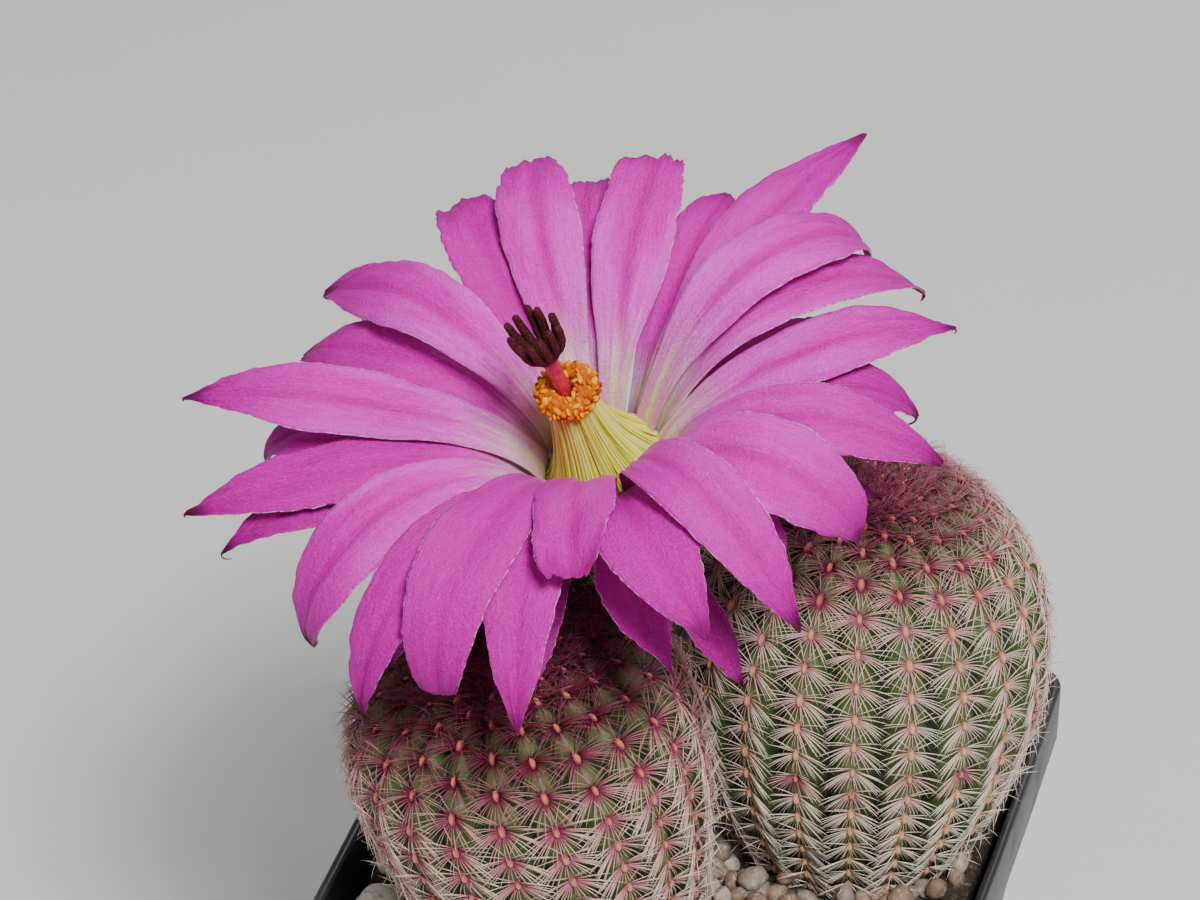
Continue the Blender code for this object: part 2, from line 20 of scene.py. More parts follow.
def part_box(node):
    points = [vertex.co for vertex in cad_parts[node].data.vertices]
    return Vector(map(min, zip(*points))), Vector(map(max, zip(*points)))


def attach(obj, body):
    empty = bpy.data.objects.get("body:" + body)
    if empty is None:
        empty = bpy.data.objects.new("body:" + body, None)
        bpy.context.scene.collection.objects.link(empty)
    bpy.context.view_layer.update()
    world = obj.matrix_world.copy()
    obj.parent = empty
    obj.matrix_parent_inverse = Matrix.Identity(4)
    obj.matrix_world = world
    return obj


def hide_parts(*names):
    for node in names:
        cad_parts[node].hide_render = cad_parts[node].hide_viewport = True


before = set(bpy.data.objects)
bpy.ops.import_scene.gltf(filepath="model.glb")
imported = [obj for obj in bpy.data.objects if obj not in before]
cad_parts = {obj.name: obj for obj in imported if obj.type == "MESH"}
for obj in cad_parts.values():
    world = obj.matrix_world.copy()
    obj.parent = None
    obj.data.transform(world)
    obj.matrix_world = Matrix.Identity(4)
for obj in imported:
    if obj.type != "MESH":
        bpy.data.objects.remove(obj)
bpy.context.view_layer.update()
MM = 0.001

# %% [markdown]
# ## The sizes
#
# The fine pieces follow the same rules as the plain solids, so the driving sizes are written here once
# more: the pot's taper, the two plants' profiles, and the flower's place and lean.

# %% Sizes of the pot, the bed and the plants
POT_TOP = 76.0 * MM
POT_BASE = 56.0 * MM
POT_HEIGHT = 72.0 * MM
POT_WALL = 1.3 * MM
POT_FLOOR = 2.2 * MM
POT_CORNER = 4.0 * MM
POT_BULGE = 0.4 * MM
BAND_HEIGHT = 10.0 * MM
BAND_STEP = 1.4 * MM
DRAIN_RADIUS = 4.0 * MM
POCKET_SIDE = 15.0 * MM
POCKET_DEPTH = 0.8 * MM
GRAVEL_DROP = 5.0 * MM
GRAVEL_DEPTH = 6.0 * MM
GRAVEL_BUMP = 0.7 * MM
FIT_GAP = 0.3 * MM
GROUND = POT_HEIGHT - GRAVEL_DROP

Plant = namedtuple("Plant", "radius waist top base square ribs lean_x lean_y")
LEFT = Plant(19.4 * MM, 30.0 * MM, 43.2 * MM, 13.2 * MM, 2.25, 21, -0.20, -0.15)
RIGHT = Plant(21.6 * MM, 26.8 * MM, 48.6 * MM, 14.2 * MM, 2.25, 21, 0.0, 0.0)
RIB_DEPTH = 0.7 * MM
DIMPLE_DEPTH = 3.5 * MM
DIMPLE_SPREAD = 0.30
LEFT_X = -8.0 * MM
LEFT_WALL_CLEARANCE = 4.2 * MM
PLANT_TUCK = 2.8 * MM
PLANT_BEARING = 47.7

# %% Sizes of the flower
SEAT_BEARING = 70.3
SEAT_HEIGHT = 37.5 * MM
SEAT_LIFT = 0.9 * MM
THROAT_RISE = 17.0 * MM
THROAT_SHIFT = (0.7 * MM, -0.8 * MM)
FLOWER_LEAN = 26.0
FLOWER_LEAN_BEARING = 267.0
TUBE_RADIUS = 4.4 * MM
CUP_RADIUS = 10.4 * MM
FLOOR_RADIUS = 4.9 * MM
WHORL_RADIUS = 6.3 * MM
WHORL_STEP = 1.1 * MM
STAMEN_LEAN = (-0.085, -0.41, 0.91)
STYLE_LEAN = (-0.174, -0.427, 0.888)
STAMEN_LENGTH = 17.9 * MM
ANTHER_RING = 2.35 * MM
ANTHER_TUBE = 1.3 * MM
STYLE_RADIUS = 0.95 * MM
STYLE_REACH = 7.2 * MM
STIGMA_LENGTH = 7.2 * MM
STIGMA_RADIUS = 3.2 * MM
STIGMA_LOBES = 11

# %% [markdown]
# ## Small tools
#
# Three things come back all the time: turning points and faces into a mesh, adding a node with its
# inputs to a tree, and curves that ease from 0 to 1. A mesh keeps its place in its own points, so every
# object stays at the origin, unturned.

# %% Meshes and easing
def smooth(value):
    value = min(max(value, 0.0), 1.0)
    return value * value * (3.0 - 2.0 * value)


def polar(radius, angle, height=0.0):
    return Vector((radius * math.cos(angle), radius * math.sin(angle), height))


def full_turn(count, shift=0.0):
    """Equal angles round a circle."""
    return [math.tau * (step + shift) / count for step in range(count)]


def square_to(axis):
    """Two directions square to an axis and to each other."""
    side = axis.cross(Vector((0.0, 1.0, 0.0))).normalized()
    return side, axis.cross(side)


def spoke(angle, side, other):
    return math.cos(angle) * side + math.sin(angle) * other


def put_in_scene(name, data):
    made = bpy.data.objects.new(name, data)
    bpy.context.scene.collection.objects.link(made)
    return made


def new_object(name, points, faces, finish=None, edges=()):
    """A smooth mesh object from points and faces, linked to the scene."""
    mesh = bpy.data.meshes.new(name)
    mesh.from_pydata([tuple(point) for point in points], edges, faces)
    if finish:
        mesh.materials.append(finish)
    if faces:
        mesh.shade_smooth()
    return put_in_scene(name, mesh)


def face_outwards(made, merge=1e-6):
    work = bmesh.new()
    work.from_mesh(made.data)
    bmesh.ops.remove_doubles(work, verts=work.verts, dist=merge)
    bmesh.ops.recalc_face_normals(work, faces=work.faces)
    work.to_mesh(made.data)
    work.free()
    return made


def point_value(made, name, values, kind="FLOAT"):
    """A named value on every point, which a finish or a node tree can read."""
    stored = made.data.attributes.new(name, kind, "POINT")
    for item, value in zip(stored.data, values):
        if kind == "FLOAT":
            item.value = value
        else:
            item.vector = value


def skin_loops(loops, closed=False, capped=True):
    """Faces between equal loops of points; the ends are capped, or joined when closed."""
    count = len(loops[0])
    points = [point for loop in loops for point in loop]
    faces = []
    for row in range(len(loops) if closed else len(loops) - 1):
        here = row * count
        there = (row + 1) % len(loops) * count
        for step in range(count):
            after = (step + 1) % count
            faces.append((here + step, here + after, there + after, there + step))
    if capped and not closed:
        faces.append(tuple(range(count))[::-1])
        faces.append(tuple(range(len(points) - count, len(points))))
    return points, faces


def joined(parts):
    """Several lists of points and faces made into one."""
    all_points, all_faces = [], []
    for points, faces in parts:
        start = len(all_points)
        all_points += points
        all_faces += [tuple(start + index for index in face) for face in faces]
    return all_points, all_faces


def triangles(made):
    made.data.calc_loop_triangles()
    return len(made.data.loop_triangles)


# %% Node trees
def add(tree, kind, inputs=(), **settings):
    """Add a node, set its settings, and give each input a value or a link."""
    node = tree.nodes.new(kind)
    for key, value in settings.items():
        setattr(node, key, value)
    for key, value in dict(inputs).items():
        if isinstance(value, bpy.types.NodeSocket):
            tree.links.new(value, node.inputs[key])
        else:
            node.inputs[key].default_value = value
    return node


def calc(tree, operation, first, second=0.0, clamp=False):
    return add(tree, "ShaderNodeMath", {0: first, 1: second}, operation=operation, use_clamp=clamp).outputs[0]


def times(tree, first, *others):
    for other in others:
        first = calc(tree, "MULTIPLY", first, other)
    return first


def plus(tree, first, second):
    return calc(tree, "ADD", first, second)


def stray(tree, value, cloud, reach):
    """A value pushed up and down by a noise, which lies between 0 and 1."""
    return plus(tree, value, times(tree, calc(tree, "SUBTRACT", cloud, 0.5), reach))


def ease(tree, value, low, high, start=0.0, end=1.0):
    """A smooth step of a value from start to end while it goes from low to high."""
    inputs = {"Value": value, "From Min": low, "From Max": high, "To Min": start, "To Max": end}
    return add(tree, "ShaderNodeMapRange", inputs, interpolation_type="SMOOTHSTEP").outputs[0]


def grain(tree, where, scale, detail=2.0, roughness=0.5):
    inputs = {"Vector": where, "Scale": scale, "Detail": detail, "Roughness": roughness}
    return add(tree, "ShaderNodeTexNoise", inputs).outputs[0]


def blend(tree, share, first, second, mode="MIX"):
    """Two colours mixed; a plain colour is given as three numbers."""
    inputs = {0: share}
    for key, colour in ((6, first), (7, second)):
        inputs[key] = (*colour, 1.0) if isinstance(colour, tuple) else colour
    return add(tree, "ShaderNodeMix", inputs, data_type="RGBA", blend_type=mode).outputs[2]


def ramp(tree, value, stops):
    """A colour read from stops, each a place from 0 to 1 and a colour."""
    node = add(tree, "ShaderNodeValToRGB", {0: value})
    elements = node.color_ramp.elements
    while len(elements) < len(stops):
        elements.new(0.5)
    for element, (place, colour) in zip(elements, stops):
        element.position = place
        element.color = (*colour, 1.0)
    return node.outputs[0]


def stored(tree, name, output="Fac"):
    return add(tree, "ShaderNodeAttribute", attribute_name=name).outputs[output]


def new_finish(name, roughness, **fixed):
    """A material with a Principled shader whose plain numbers are set on its own sockets."""
    made = bpy.data.materials.new(name)
    made.use_nodes = True
    tree = made.node_tree
    shader = tree.nodes["Principled BSDF"]
    shader.inputs["Roughness"].default_value = roughness
    for key, value in fixed.items():
        shader.inputs[key.replace("_", " ")].default_value = value
    return made, tree, shader


def place(tree):
    return add(tree, "ShaderNodeTexCoord").outputs["Object"]


def paint(tree, shader, colour):
    tree.links.new(colour, shader.inputs["Base Color"])


def relief(tree, shader, height, distance, strength=1.0):
    bump = add(tree, "ShaderNodeBump", {"Height": height, "Distance": distance, "Strength": strength})
    tree.links.new(bump.outputs[0], shader.inputs["Normal"])


# %% Growing geometry from a node tree
def grow(name, base, tree, values, finish):
    """Run a node tree on a base mesh with named inputs and keep the result as a plain mesh."""
    modifier = base.modifiers.new("grow", "NODES")
    modifier.node_group = tree
    sockets = {item.name: item.identifier for item in tree.interface.items_tree
               if item.item_type == "SOCKET" and item.in_out == "INPUT"}
    for key, value in dict(values, Finish=finish).items():
        modifier[sockets[key]] = value
    bpy.context.view_layer.update()
    evaluated = base.evaluated_get(bpy.context.evaluated_depsgraph_get())
    mesh = bpy.data.meshes.new_from_object(evaluated)
    base.modifiers.clear()
    made = put_in_scene(name, mesh)
    print(name, len(mesh.polygons), "faces,", triangles(made), "triangles")
    return made


def drop(*objects):
    for item in objects:
        bpy.data.objects.remove(item, do_unlink=True)


def new_tree(name, sockets):
    """An empty geometry tree with named inputs; the base mesh comes in first."""
    tree = bpy.data.node_groups.new(name, "GeometryNodeTree")
    tree.interface.new_socket("Base", in_out="INPUT", socket_type="NodeSocketGeometry")
    for label, kind in sockets:
        tree.interface.new_socket(label, in_out="INPUT", socket_type="NodeSocket" + kind)
    tree.interface.new_socket("Finish", in_out="INPUT", socket_type="NodeSocketMaterial")
    tree.interface.new_socket("Grown", in_out="OUTPUT", socket_type="NodeSocketGeometry")
    return tree, tree.nodes.new("NodeGroupInput").outputs


def close_tree(tree, inputs, instances):
    """Realize the instances, shade them smooth, set the finish and send them out."""
    real = add(tree, "GeometryNodeRealizeInstances", {0: instances}).outputs[0]
    shaded = add(tree, "GeometryNodeSetShadeSmooth", {0: real}).outputs[0]
    done = add(tree, "GeometryNodeSetMaterial", {0: shaded, "Material": inputs["Finish"]}).outputs[0]
    tree.links.new(done, tree.nodes.new("NodeGroupOutput").inputs[0])


def chance(tree, low, high, seed, kind="FLOAT"):
    """A random value for each element."""
    node = add(tree, "FunctionNodeRandomValue", {"Seed": seed}, data_type=kind)
    ends = {"FLOAT": (2, 3), "FLOAT_VECTOR": (0, 1)}[kind]
    node.inputs[ends[0]].default_value = low
    node.inputs[ends[1]].default_value = high
    return node.outputs[1 if kind == "FLOAT" else 0]


def vector(tree, operation, first, second=None, scale=None):
    inputs = {0: first}
    if second is not None:
        inputs[1] = second
    if scale is not None:
        inputs["Scale"] = scale
    return add(tree, "ShaderNodeVectorMath", inputs, operation=operation).outputs[0]


def carried(tree, name, kind="FLOAT"):
    return add(tree, "GeometryNodeInputNamedAttribute", {"Name": name}, data_type=kind).outputs[0]


def scatter(tree, inputs, density):
    """Points over the base with a least distance between them; outputs are points and normals."""
    values = {"Mesh": inputs["Base"], "Distance Min": inputs["Least distance"], "Density Max": density,
              "Seed": inputs["Seed"]}
    return add(tree, "GeometryNodeDistributePointsOnFaces", values, distribute_method="POISSON").outputs


def with_tint(tree, points, tint):
    values = {"Geometry": points, "Name": "tint", "Value": tint}
    return add(tree, "GeometryNodeStoreNamedAttribute", values, data_type="FLOAT", domain="POINT").outputs[0]


def object_shape(tree, chosen):
    return add(tree, "GeometryNodeObjectInfo", {"Object": chosen}).outputs["Geometry"]


def turn_to(tree, main, second, second_axis):
    """A rotation that points Z along the main direction and another axis towards the second one."""
    return add(tree, "FunctionNodeAxesToRotation", {0: main, 1: second}, primary_axis="Z",
               secondary_axis=second_axis).outputs[0]


def copies_on(tree, points, shape, pose, size, pick_one=False):
    """A copy of the shape on each point, turned by the pose and scaled evenly."""
    values = {"Points": points, "Instance": shape, "Pick Instance": pick_one, "Rotation": pose,
              "Scale": vector(tree, "SCALE", (1.0, 1.0, 1.0), scale=size)}
    return add(tree, "GeometryNodeInstanceOnPoints", values).outputs[0]


# %% [markdown]
# ## The pot
#
# The real one is injection moulded: a thin tapered wall, a wide band round the rim, rounded edges, a
# drain hole in each corner of the floor. It is a stack of rounded squares, which is the way such a
# shape is drawn, with extra loops wherever an edge is rounded. The holes are cut with booleans.

# %% Loops of the pot
CORNER_STEPS = 8
SIDE_STEPS = 4
WALL_STEPS = 6


def square_loop(half, corner, height, bulge=0.0):
    """A rounded square of points, its sides bowed outwards by the bulge."""
    points = []
    reach = half - corner
    for side in range(4):
        turn = Matrix.Rotation(math.radians(90 * side), 3, "Z")
        for step in range(CORNER_STEPS + 1):
            angle = math.radians(90 * step / CORNER_STEPS)
            points.append(turn @ Vector((reach + corner * math.cos(angle),
                                         reach + corner * math.sin(angle), height)))
        for step in range(1, SIDE_STEPS):
            across = 1.0 - 2.0 * step / SIDE_STEPS
            bow = bulge * (1.0 - across * across)
            points.append(turn @ Vector((across * reach, half + bow, height)))
    return points


def pot_half(height):
    """Half the pot's outer width at a height of its tapered wall."""
    share = height / (POT_HEIGHT - BAND_HEIGHT)
    return POT_BASE / 2 + (POT_TOP / 2 - BAND_STEP - POT_BASE / 2) * share


band = POT_HEIGHT - BAND_HEIGHT
rim = POT_TOP / 2
inner_corner = POT_CORNER - POT_WALL
wall = [(pot_half(0.0) - inset * MM, POT_CORNER, height * MM, 0.0)
        for inset, height in ((0.9, 0.0), (0.4, 0.12), (0.12, 0.4), (0.0, 0.9))]
wall += [(pot_half(band * step / WALL_STEPS), POT_CORNER, band * step / WALL_STEPS,
          POT_BULGE * step / WALL_STEPS) for step in range(1, WALL_STEPS)]
wall += [(pot_half(band) + out * MM, POT_CORNER, band + up * MM, POT_BULGE)
         for out, up in ((0.0, -0.5), (0.15, 0.1), (0.7, 0.75), (1.25, 1.25), (1.4, 1.6))]
wall += [(rim - inset * MM, POT_CORNER, POT_HEIGHT - down * MM, POT_BULGE)
         for inset, down in ((0.0, 5.0), (0.0, 0.7), (0.08, 0.35), (0.3, 0.1), (0.55, 0.0), (0.85, 0.0),
                              (1.1, 0.12), (1.25, 0.4), (1.3, 0.8))]
wall += [(rim - POT_WALL, inner_corner, band + 1.8 * MM, POT_BULGE)]
wall += [(pot_half(height) - POT_WALL, inner_corner, height, POT_BULGE * height / band)
         for height in (band + 0.2 * MM, band * 0.66, band * 0.33, POT_FLOOR + 0.8 * MM)]
wall += [(pot_half(POT_FLOOR) - POT_WALL - 0.5 * MM, inner_corner, POT_FLOOR, 0.0)]

# %% Black moulded plastic
pot_finish, tree, shader = new_finish("black_moulded_plastic", 0.42, Specular_IOR_Level=0.45)
where = place(tree)
scuff = add(tree, "ShaderNodeMapping", {0: where, 3: (1.0, 1.0, 0.18)}).outputs[0]
worn = ease(tree, grain(tree, scuff, 900.0, 6.0, 0.65), 0.56, 0.72)
dust = ease(tree, grain(tree, where, 120.0, 8.0, 0.7), 0.50, 0.75)
height = add(tree, "ShaderNodeSeparateXYZ", {0: where}).outputs[2]
edge = ease(tree, height, POT_HEIGHT - 1.0 * MM, POT_HEIGHT)
colour = blend(tree, times(tree, worn, 0.35), (0.011, 0.011, 0.012), (0.045, 0.044, 0.042))
colour = blend(tree, times(tree, dust, 0.30), colour, (0.10, 0.09, 0.075))
colour = blend(tree, times(tree, edge, 0.25), colour, (0.06, 0.06, 0.06))
paint(tree, shader, colour)
gloss = plus(tree, times(tree, dust, 0.22), 0.36)
tree.links.new(gloss, shader.inputs["Roughness"])
orange_peel = plus(tree, grain(tree, where, 2600.0, 2.0), times(tree, worn, 0.35))
relief(tree, shader, orange_peel, 0.05 * MM, 0.5)


# %% Pot with its drain holes
def cutter(name, centres, radius, low, high, sides, turn=0.0):
    """Upright prisms that cut the pot's floor, one on each centre."""
    parts = []
    for centre_x, centre_y in centres:
        rings = [[Vector((centre_x + radius * math.cos(a), centre_y + radius * math.sin(a), z))
                  for a in full_turn(sides, turn)] for z in (low, high)]
        parts.append(skin_loops(rings))
    return new_object(name, *joined(parts), pot_finish)


points, faces = skin_loops([square_loop(*loop) for loop in wall])
rough_pot = face_outwards(new_object("rough_pot", points, faces, pot_finish))
reach = POT_BASE / 2 - POCKET_SIDE / 2 - 4.0 * MM
corners = [(x * reach, y * reach) for x in (-1, 1) for y in (-1, 1)]
pockets = cutter("pockets", corners, POCKET_SIDE / math.sqrt(2), -POCKET_DEPTH, POCKET_DEPTH, 4, 0.5)
holes = cutter("holes", corners, DRAIN_RADIUS, -2.0 * MM, POT_FLOOR + 2.0 * MM, 32)
for tool in (pockets, holes):
    boolean = rough_pot.modifiers.new(tool.name, "BOOLEAN")
    boolean.operation = "DIFFERENCE"
    boolean.solver = "EXACT"
    boolean.object = tool
bpy.context.view_layer.update()
pot_mesh = bpy.data.meshes.new_from_object(rough_pot.evaluated_get(bpy.context.evaluated_depsgraph_get()))
pot_mesh.shade_smooth()
pot_mesh.set_sharp_from_angle(angle=math.radians(50))
pot = put_in_scene("nursery_pot", pot_mesh)
drop(rough_pot, pockets, holes)
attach(pot, "root")
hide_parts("pot")
print("pot", triangles(pot), "triangles")

# %% [markdown]
# ## The soil
#
# The soil shows only through the drain holes and between the lowest stones. Its plain block keeps its
# shape, and a finish gives it dark crumbs with a few pale grains of pumice.

# %% Soil finish
soil_finish, tree, shader = new_finish("potting_soil", 0.95)
where = place(tree)
crumbs = grain(tree, where, 420.0, 6.0, 0.7)
colour = ramp(tree, crumbs, [(0.30, (0.012, 0.008, 0.005)), (0.52, (0.045, 0.028, 0.016)),
                             (0.66, (0.10, 0.068, 0.040)), (0.74, (0.42, 0.38, 0.31))])
paint(tree, shader, colour)
relief(tree, shader, crumbs, 0.8 * MM)
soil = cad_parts["soil"]
soil.material_slots[0].material = soil_finish

# %% [markdown]
# ## The plants' outlines
#
# Both plants are turned shapes with ribs, so everything on them is found from two numbers: how far a
# point lies from the tip along the skin, and its bearing round the axis. These helpers place the two
# plants in the pot and walk along a plant's outline in equal steps.

# %% Where the plants stand
def left_origin():
    reach = POT_TOP / 2 - POT_WALL - LEFT_WALL_CLEARANCE - LEFT.base
    return Vector((LEFT_X, -reach, GROUND))


def right_origin():
    spread = LEFT.radius + RIGHT.radius - PLANT_TUCK
    bearing = math.radians(PLANT_BEARING)
    return left_origin() + spread * polar(1.0, bearing)


def plant_frame(plant, origin):
    """Turn and place: a plant's own Z is its leaning axis."""
    axis = Vector((plant.lean_x, plant.lean_y, 1.0)).normalized()
    side = Vector((0.0, 1.0, 0.0)).cross(axis).normalized()
    turn = Matrix((side, axis.cross(side), axis)).transposed().to_4x4()
    return Matrix.Translation(origin) @ turn


def plant_radius(plant, height):
    if height < plant.waist:
        rise = math.sin(max(height, 0.0) / plant.waist * math.pi / 2)
        return plant.base + (plant.radius - plant.base) * rise
    share = min((height - plant.waist) / (plant.top - plant.waist), 1.0)
    return plant.radius * (1.0 - share ** plant.square) ** (1.0 / plant.square)


Outline = namedtuple("Outline", "arcs radii heights total")
DOME_STEPS = 300
FLANK_STEPS = 60


def outline(plant, count):
    """The plant's outline in equal steps from the bottom of its dimple to its foot."""
    lean = math.hypot(plant.lean_x, plant.lean_y)
    foot = GRAVEL_DEPTH - 2 * FIT_GAP - (plant.base + RIB_DEPTH) * lean
    pairs = [(0.0, plant.top - DIMPLE_DEPTH)]
    for step in range(1, DOME_STEPS):
        share = math.cos(math.pi / 2 * step / DOME_STEPS) ** (2.0 / plant.square)
        height = plant.waist + (plant.top - plant.waist) * share
        radius = plant_radius(plant, height)
        near = smooth(1.0 - radius / (DIMPLE_SPREAD * plant.radius))
        pairs.append((radius, height - DIMPLE_DEPTH * near))
    for step in range(FLANK_STEPS + 1):
        height = plant.waist * (1 - step / FLANK_STEPS)
        pairs.append((plant_radius(plant, height), height))
    pairs.append((plant.base, -foot))
    lengths = [0.0]
    for before, after in zip(pairs, pairs[1:]):
        lengths.append(lengths[-1] + math.dist(before, after))
    arcs, radii, heights = [], [], []
    index = 0
    for step in range(count + 1):
        arc = lengths[-1] * step / count
        while index < len(lengths) - 2 and lengths[index + 1] < arc:
            index += 1
        part = (arc - lengths[index]) / max(lengths[index + 1] - lengths[index], 1e-9)
        arcs.append(arc)
        radii.append(pairs[index][0] + (pairs[index + 1][0] - pairs[index][0]) * part)
        heights.append(pairs[index][1] + (pairs[index + 1][1] - pairs[index][1]) * part)
    return Outline(arcs, radii, heights, lengths[-1])


def outline_at(line, arc):
    """Radius, height and outward direction (radial, axial) at a distance from the tip."""
    last = len(line.arcs) - 1
    spot = min(max(arc / line.total * last, 0.0), last - 1e-6)
    index = int(spot)
    part = spot - index
    low, high = max(index - 1, 0), min(index + 2, last)
    run = Vector((line.radii[high] - line.radii[low], line.heights[high] - line.heights[low])).normalized()
    radius = line.radii[index] + (line.radii[index + 1] - line.radii[index]) * part
    height = line.heights[index] + (line.heights[index + 1] - line.heights[index]) * part
    return radius, height, Vector((-run.y, run.x))


OUTLINE_STEPS = 400
lines = {"left": outline(LEFT, OUTLINE_STEPS), "right": outline(RIGHT, OUTLINE_STEPS)}
print("skin from tip to foot, mm:", {name: round(line.total / MM, 1) for name, line in lines.items()})

# %% [markdown]
# ## Gravel and pebbles
#
# Washed cream, grey and brown stones of 3 to 5 mm lie over the soil. A bumpy bed closes the gaps, a
# node tree scatters five stone shapes over it with a least distance between them, and eight larger
# pebbles are shaped one by one. A grid with holes where the plants and the pebbles are is the ground
# that the tree may scatter on.

# %% Stone finish
stone_finish, tree, shader = new_finish("washed_stone", 0.62, Specular_IOR_Level=0.35)
where = place(tree)
tint = stored(tree, "tint")
speckle = grain(tree, where, 1500.0, 5.0, 0.7)
cloud = grain(tree, where, 420.0, 3.0)
pick = stray(tree, tint, cloud, 0.22)
colour = ramp(tree, pick, [(0.0, (0.82, 0.78, 0.68)), (0.30, (0.62, 0.56, 0.46)),
                           (0.48, (0.30, 0.26, 0.22)), (0.66, (0.22, 0.14, 0.095)),
                           (0.82, (0.34, 0.24, 0.18)), (1.0, (0.70, 0.66, 0.58))])
colour = blend(tree, ease(tree, speckle, 0.52, 0.66, 0.0, 0.55), colour, (0.12, 0.09, 0.07))
colour = blend(tree, ease(tree, speckle, 0.46, 0.34, 0.0, 0.35), colour, (0.80, 0.77, 0.70))
paint(tree, shader, colour)
relief(tree, shader, plus(tree, speckle, cloud), 0.12 * MM, 0.7)

# %% A worn stone
def stone(name, seed, subdivisions, size=(1.0, 1.0, 1.0), centre=(0.0, 0.0, 0.0)):
    """A ball squashed to a size, dented by slow noise and flattened a little on three sides."""
    pick = random.Random(seed)
    cuts = [(Vector((pick.uniform(-1, 1), pick.uniform(-1, 1), pick.uniform(-1, 1))).normalized(),
             pick.uniform(0.72, 0.9)) for _ in range(4)]
    work = bmesh.new()
    bmesh.ops.create_icosphere(work, subdivisions=subdivisions, radius=1.0)
    for vert in work.verts:
        here = vert.co.copy()
        for side, limit in cuts:
            over = here.dot(side) - limit
            if over > 0.0:
                here -= side * over * 0.75
        here *= 1.0 + 0.16 * noise.noise(vert.co * 1.2 + Vector((seed, 0.0, 0.0)))
        vert.co = Vector(centre) + Vector([c * s / 2 for c, s in zip(here, size)])
    mesh = bpy.data.meshes.new(name)
    work.to_mesh(mesh)
    work.free()
    mesh.shade_smooth()
    mesh.materials.append(stone_finish)
    return put_in_scene(name, mesh)


# Place across and along the pot, length, width and thickness, all in mm.
PEBBLES = [
    (-31.2, -27.0, 6.0, 4.6, 3.6),
    (-31.6, -19.8, 5.4, 4.2, 3.4),
    (10.2, -28.6, 6.8, 5.0, 4.0),
    (17.4, -25.4, 5.2, 4.4, 3.4),
    (24.6, -27.8, 6.2, 4.8, 3.6),
    (31.4, -23.0, 5.0, 4.2, 3.2),
    (-28.4, 12.0, 6.4, 5.0, 3.8),
    (-12.6, 27.4, 5.8, 4.6, 3.4),
]
PEBBLE_TINTS = (0.05, 0.02, 0.62, 0.55, 0.78, 0.50, 0.10, 0.20)
for index, (_, _, length, width, thick) in enumerate(PEBBLES):
    low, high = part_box(f"pebble_{index + 1}")
    centre = (low + high) / 2
    pebble = stone(f"worn_pebble_{index + 1}", 40 + index, 4, (length * MM, width * MM, thick * MM), centre)
    point_value(pebble, "tint", [PEBBLE_TINTS[index]] * len(pebble.data.vertices))
    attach(pebble, "root")
    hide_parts(f"pebble_{index + 1}")
print(len(PEBBLES), "pebbles")

# %% The ground between the plants
bed_half = pot_half(GROUND - GRAVEL_DEPTH) - POT_WALL - FIT_GAP
feet = [(left_origin(), LEFT.base + 0.7 * MM), (right_origin(), RIGHT.base + 0.7 * MM)]


def free_ground(spot, margin):
    clear = all((spot - foot.xy).length > radius + margin for foot, radius in feet)
    return clear and all((spot - Vector(pebble[:2]) * MM).length > pebble[2] / 2 * MM + margin
                         for pebble in PEBBLES)


def ground_grid(step, margin, edge, lift):
    """A flat grid over the bed, open where a plant or a pebble stands."""
    cells = int(2 * edge / step)
    points, faces, index = [], [], {}
    for row in range(cells):
        for column in range(cells):
            corner = Vector((-edge + column * step, -edge + row * step))
            if free_ground(corner + Vector((step, step)) / 2, margin):
                face = []
                for shift_x, shift_y in ((0, 0), (1, 0), (1, 1), (0, 1)):
                    key = (column + shift_x, row + shift_y)
                    if key not in index:
                        index[key] = len(points)
                        x, y = -edge + key[0] * step, -edge + key[1] * step
                        points.append((x, y, GROUND + lift))
                    face.append(index[key])
                faces.append(face)
    return new_object("ground", points, faces)


# %% Scattering stones
tree, inputs = new_tree("scatter_stones", [("Least distance", "Float"), ("Smallest", "Float"),
                                           ("Largest", "Float"), ("Seed", "Int")]
                        + [(f"Stone {index}", "Object") for index in range(5)])
spread = scatter(tree, inputs, 400000.0)
shapes = tree.nodes.new("GeometryNodeGeometryToInstance")
for index in range(5):
    tree.links.new(object_shape(tree, inputs[f"Stone {index}"]), shapes.inputs[0])
position = tree.nodes.new("GeometryNodeInputPosition").outputs[0]
across = add(tree, "ShaderNodeSeparateXYZ", {0: position}).outputs[0]
browner = ease(tree, across, -12.0 * MM, 6.0 * MM, 0.0, 0.52)
tint = plus(tree, browner, chance(tree, 0.0, 0.36, 3))
size = add(tree, "ShaderNodeMapRange", {"Value": chance(tree, 0.0, 1.0, 5), "To Min": inputs["Smallest"],
                                        "To Max": inputs["Largest"]}).outputs[0]
turned = add(tree, "FunctionNodeEulerToRotation",
             {0: chance(tree, (0.0, 0.0, 0.0), (6.28, 6.28, 6.28), 7, "FLOAT_VECTOR")}).outputs[0]
tinted = with_tint(tree, spread[0], tint)
close_tree(tree, inputs, copies_on(tree, tinted, shapes.outputs[0], turned, size, pick_one=True))
scatter_tree = tree

# %% Two layers of stones
STONE_SHAPES = ((1.0, 0.8, 0.66), (1.1, 0.72, 0.6), (0.9, 0.84, 0.7), (1.2, 0.8, 0.56), (0.95, 0.7, 0.7))
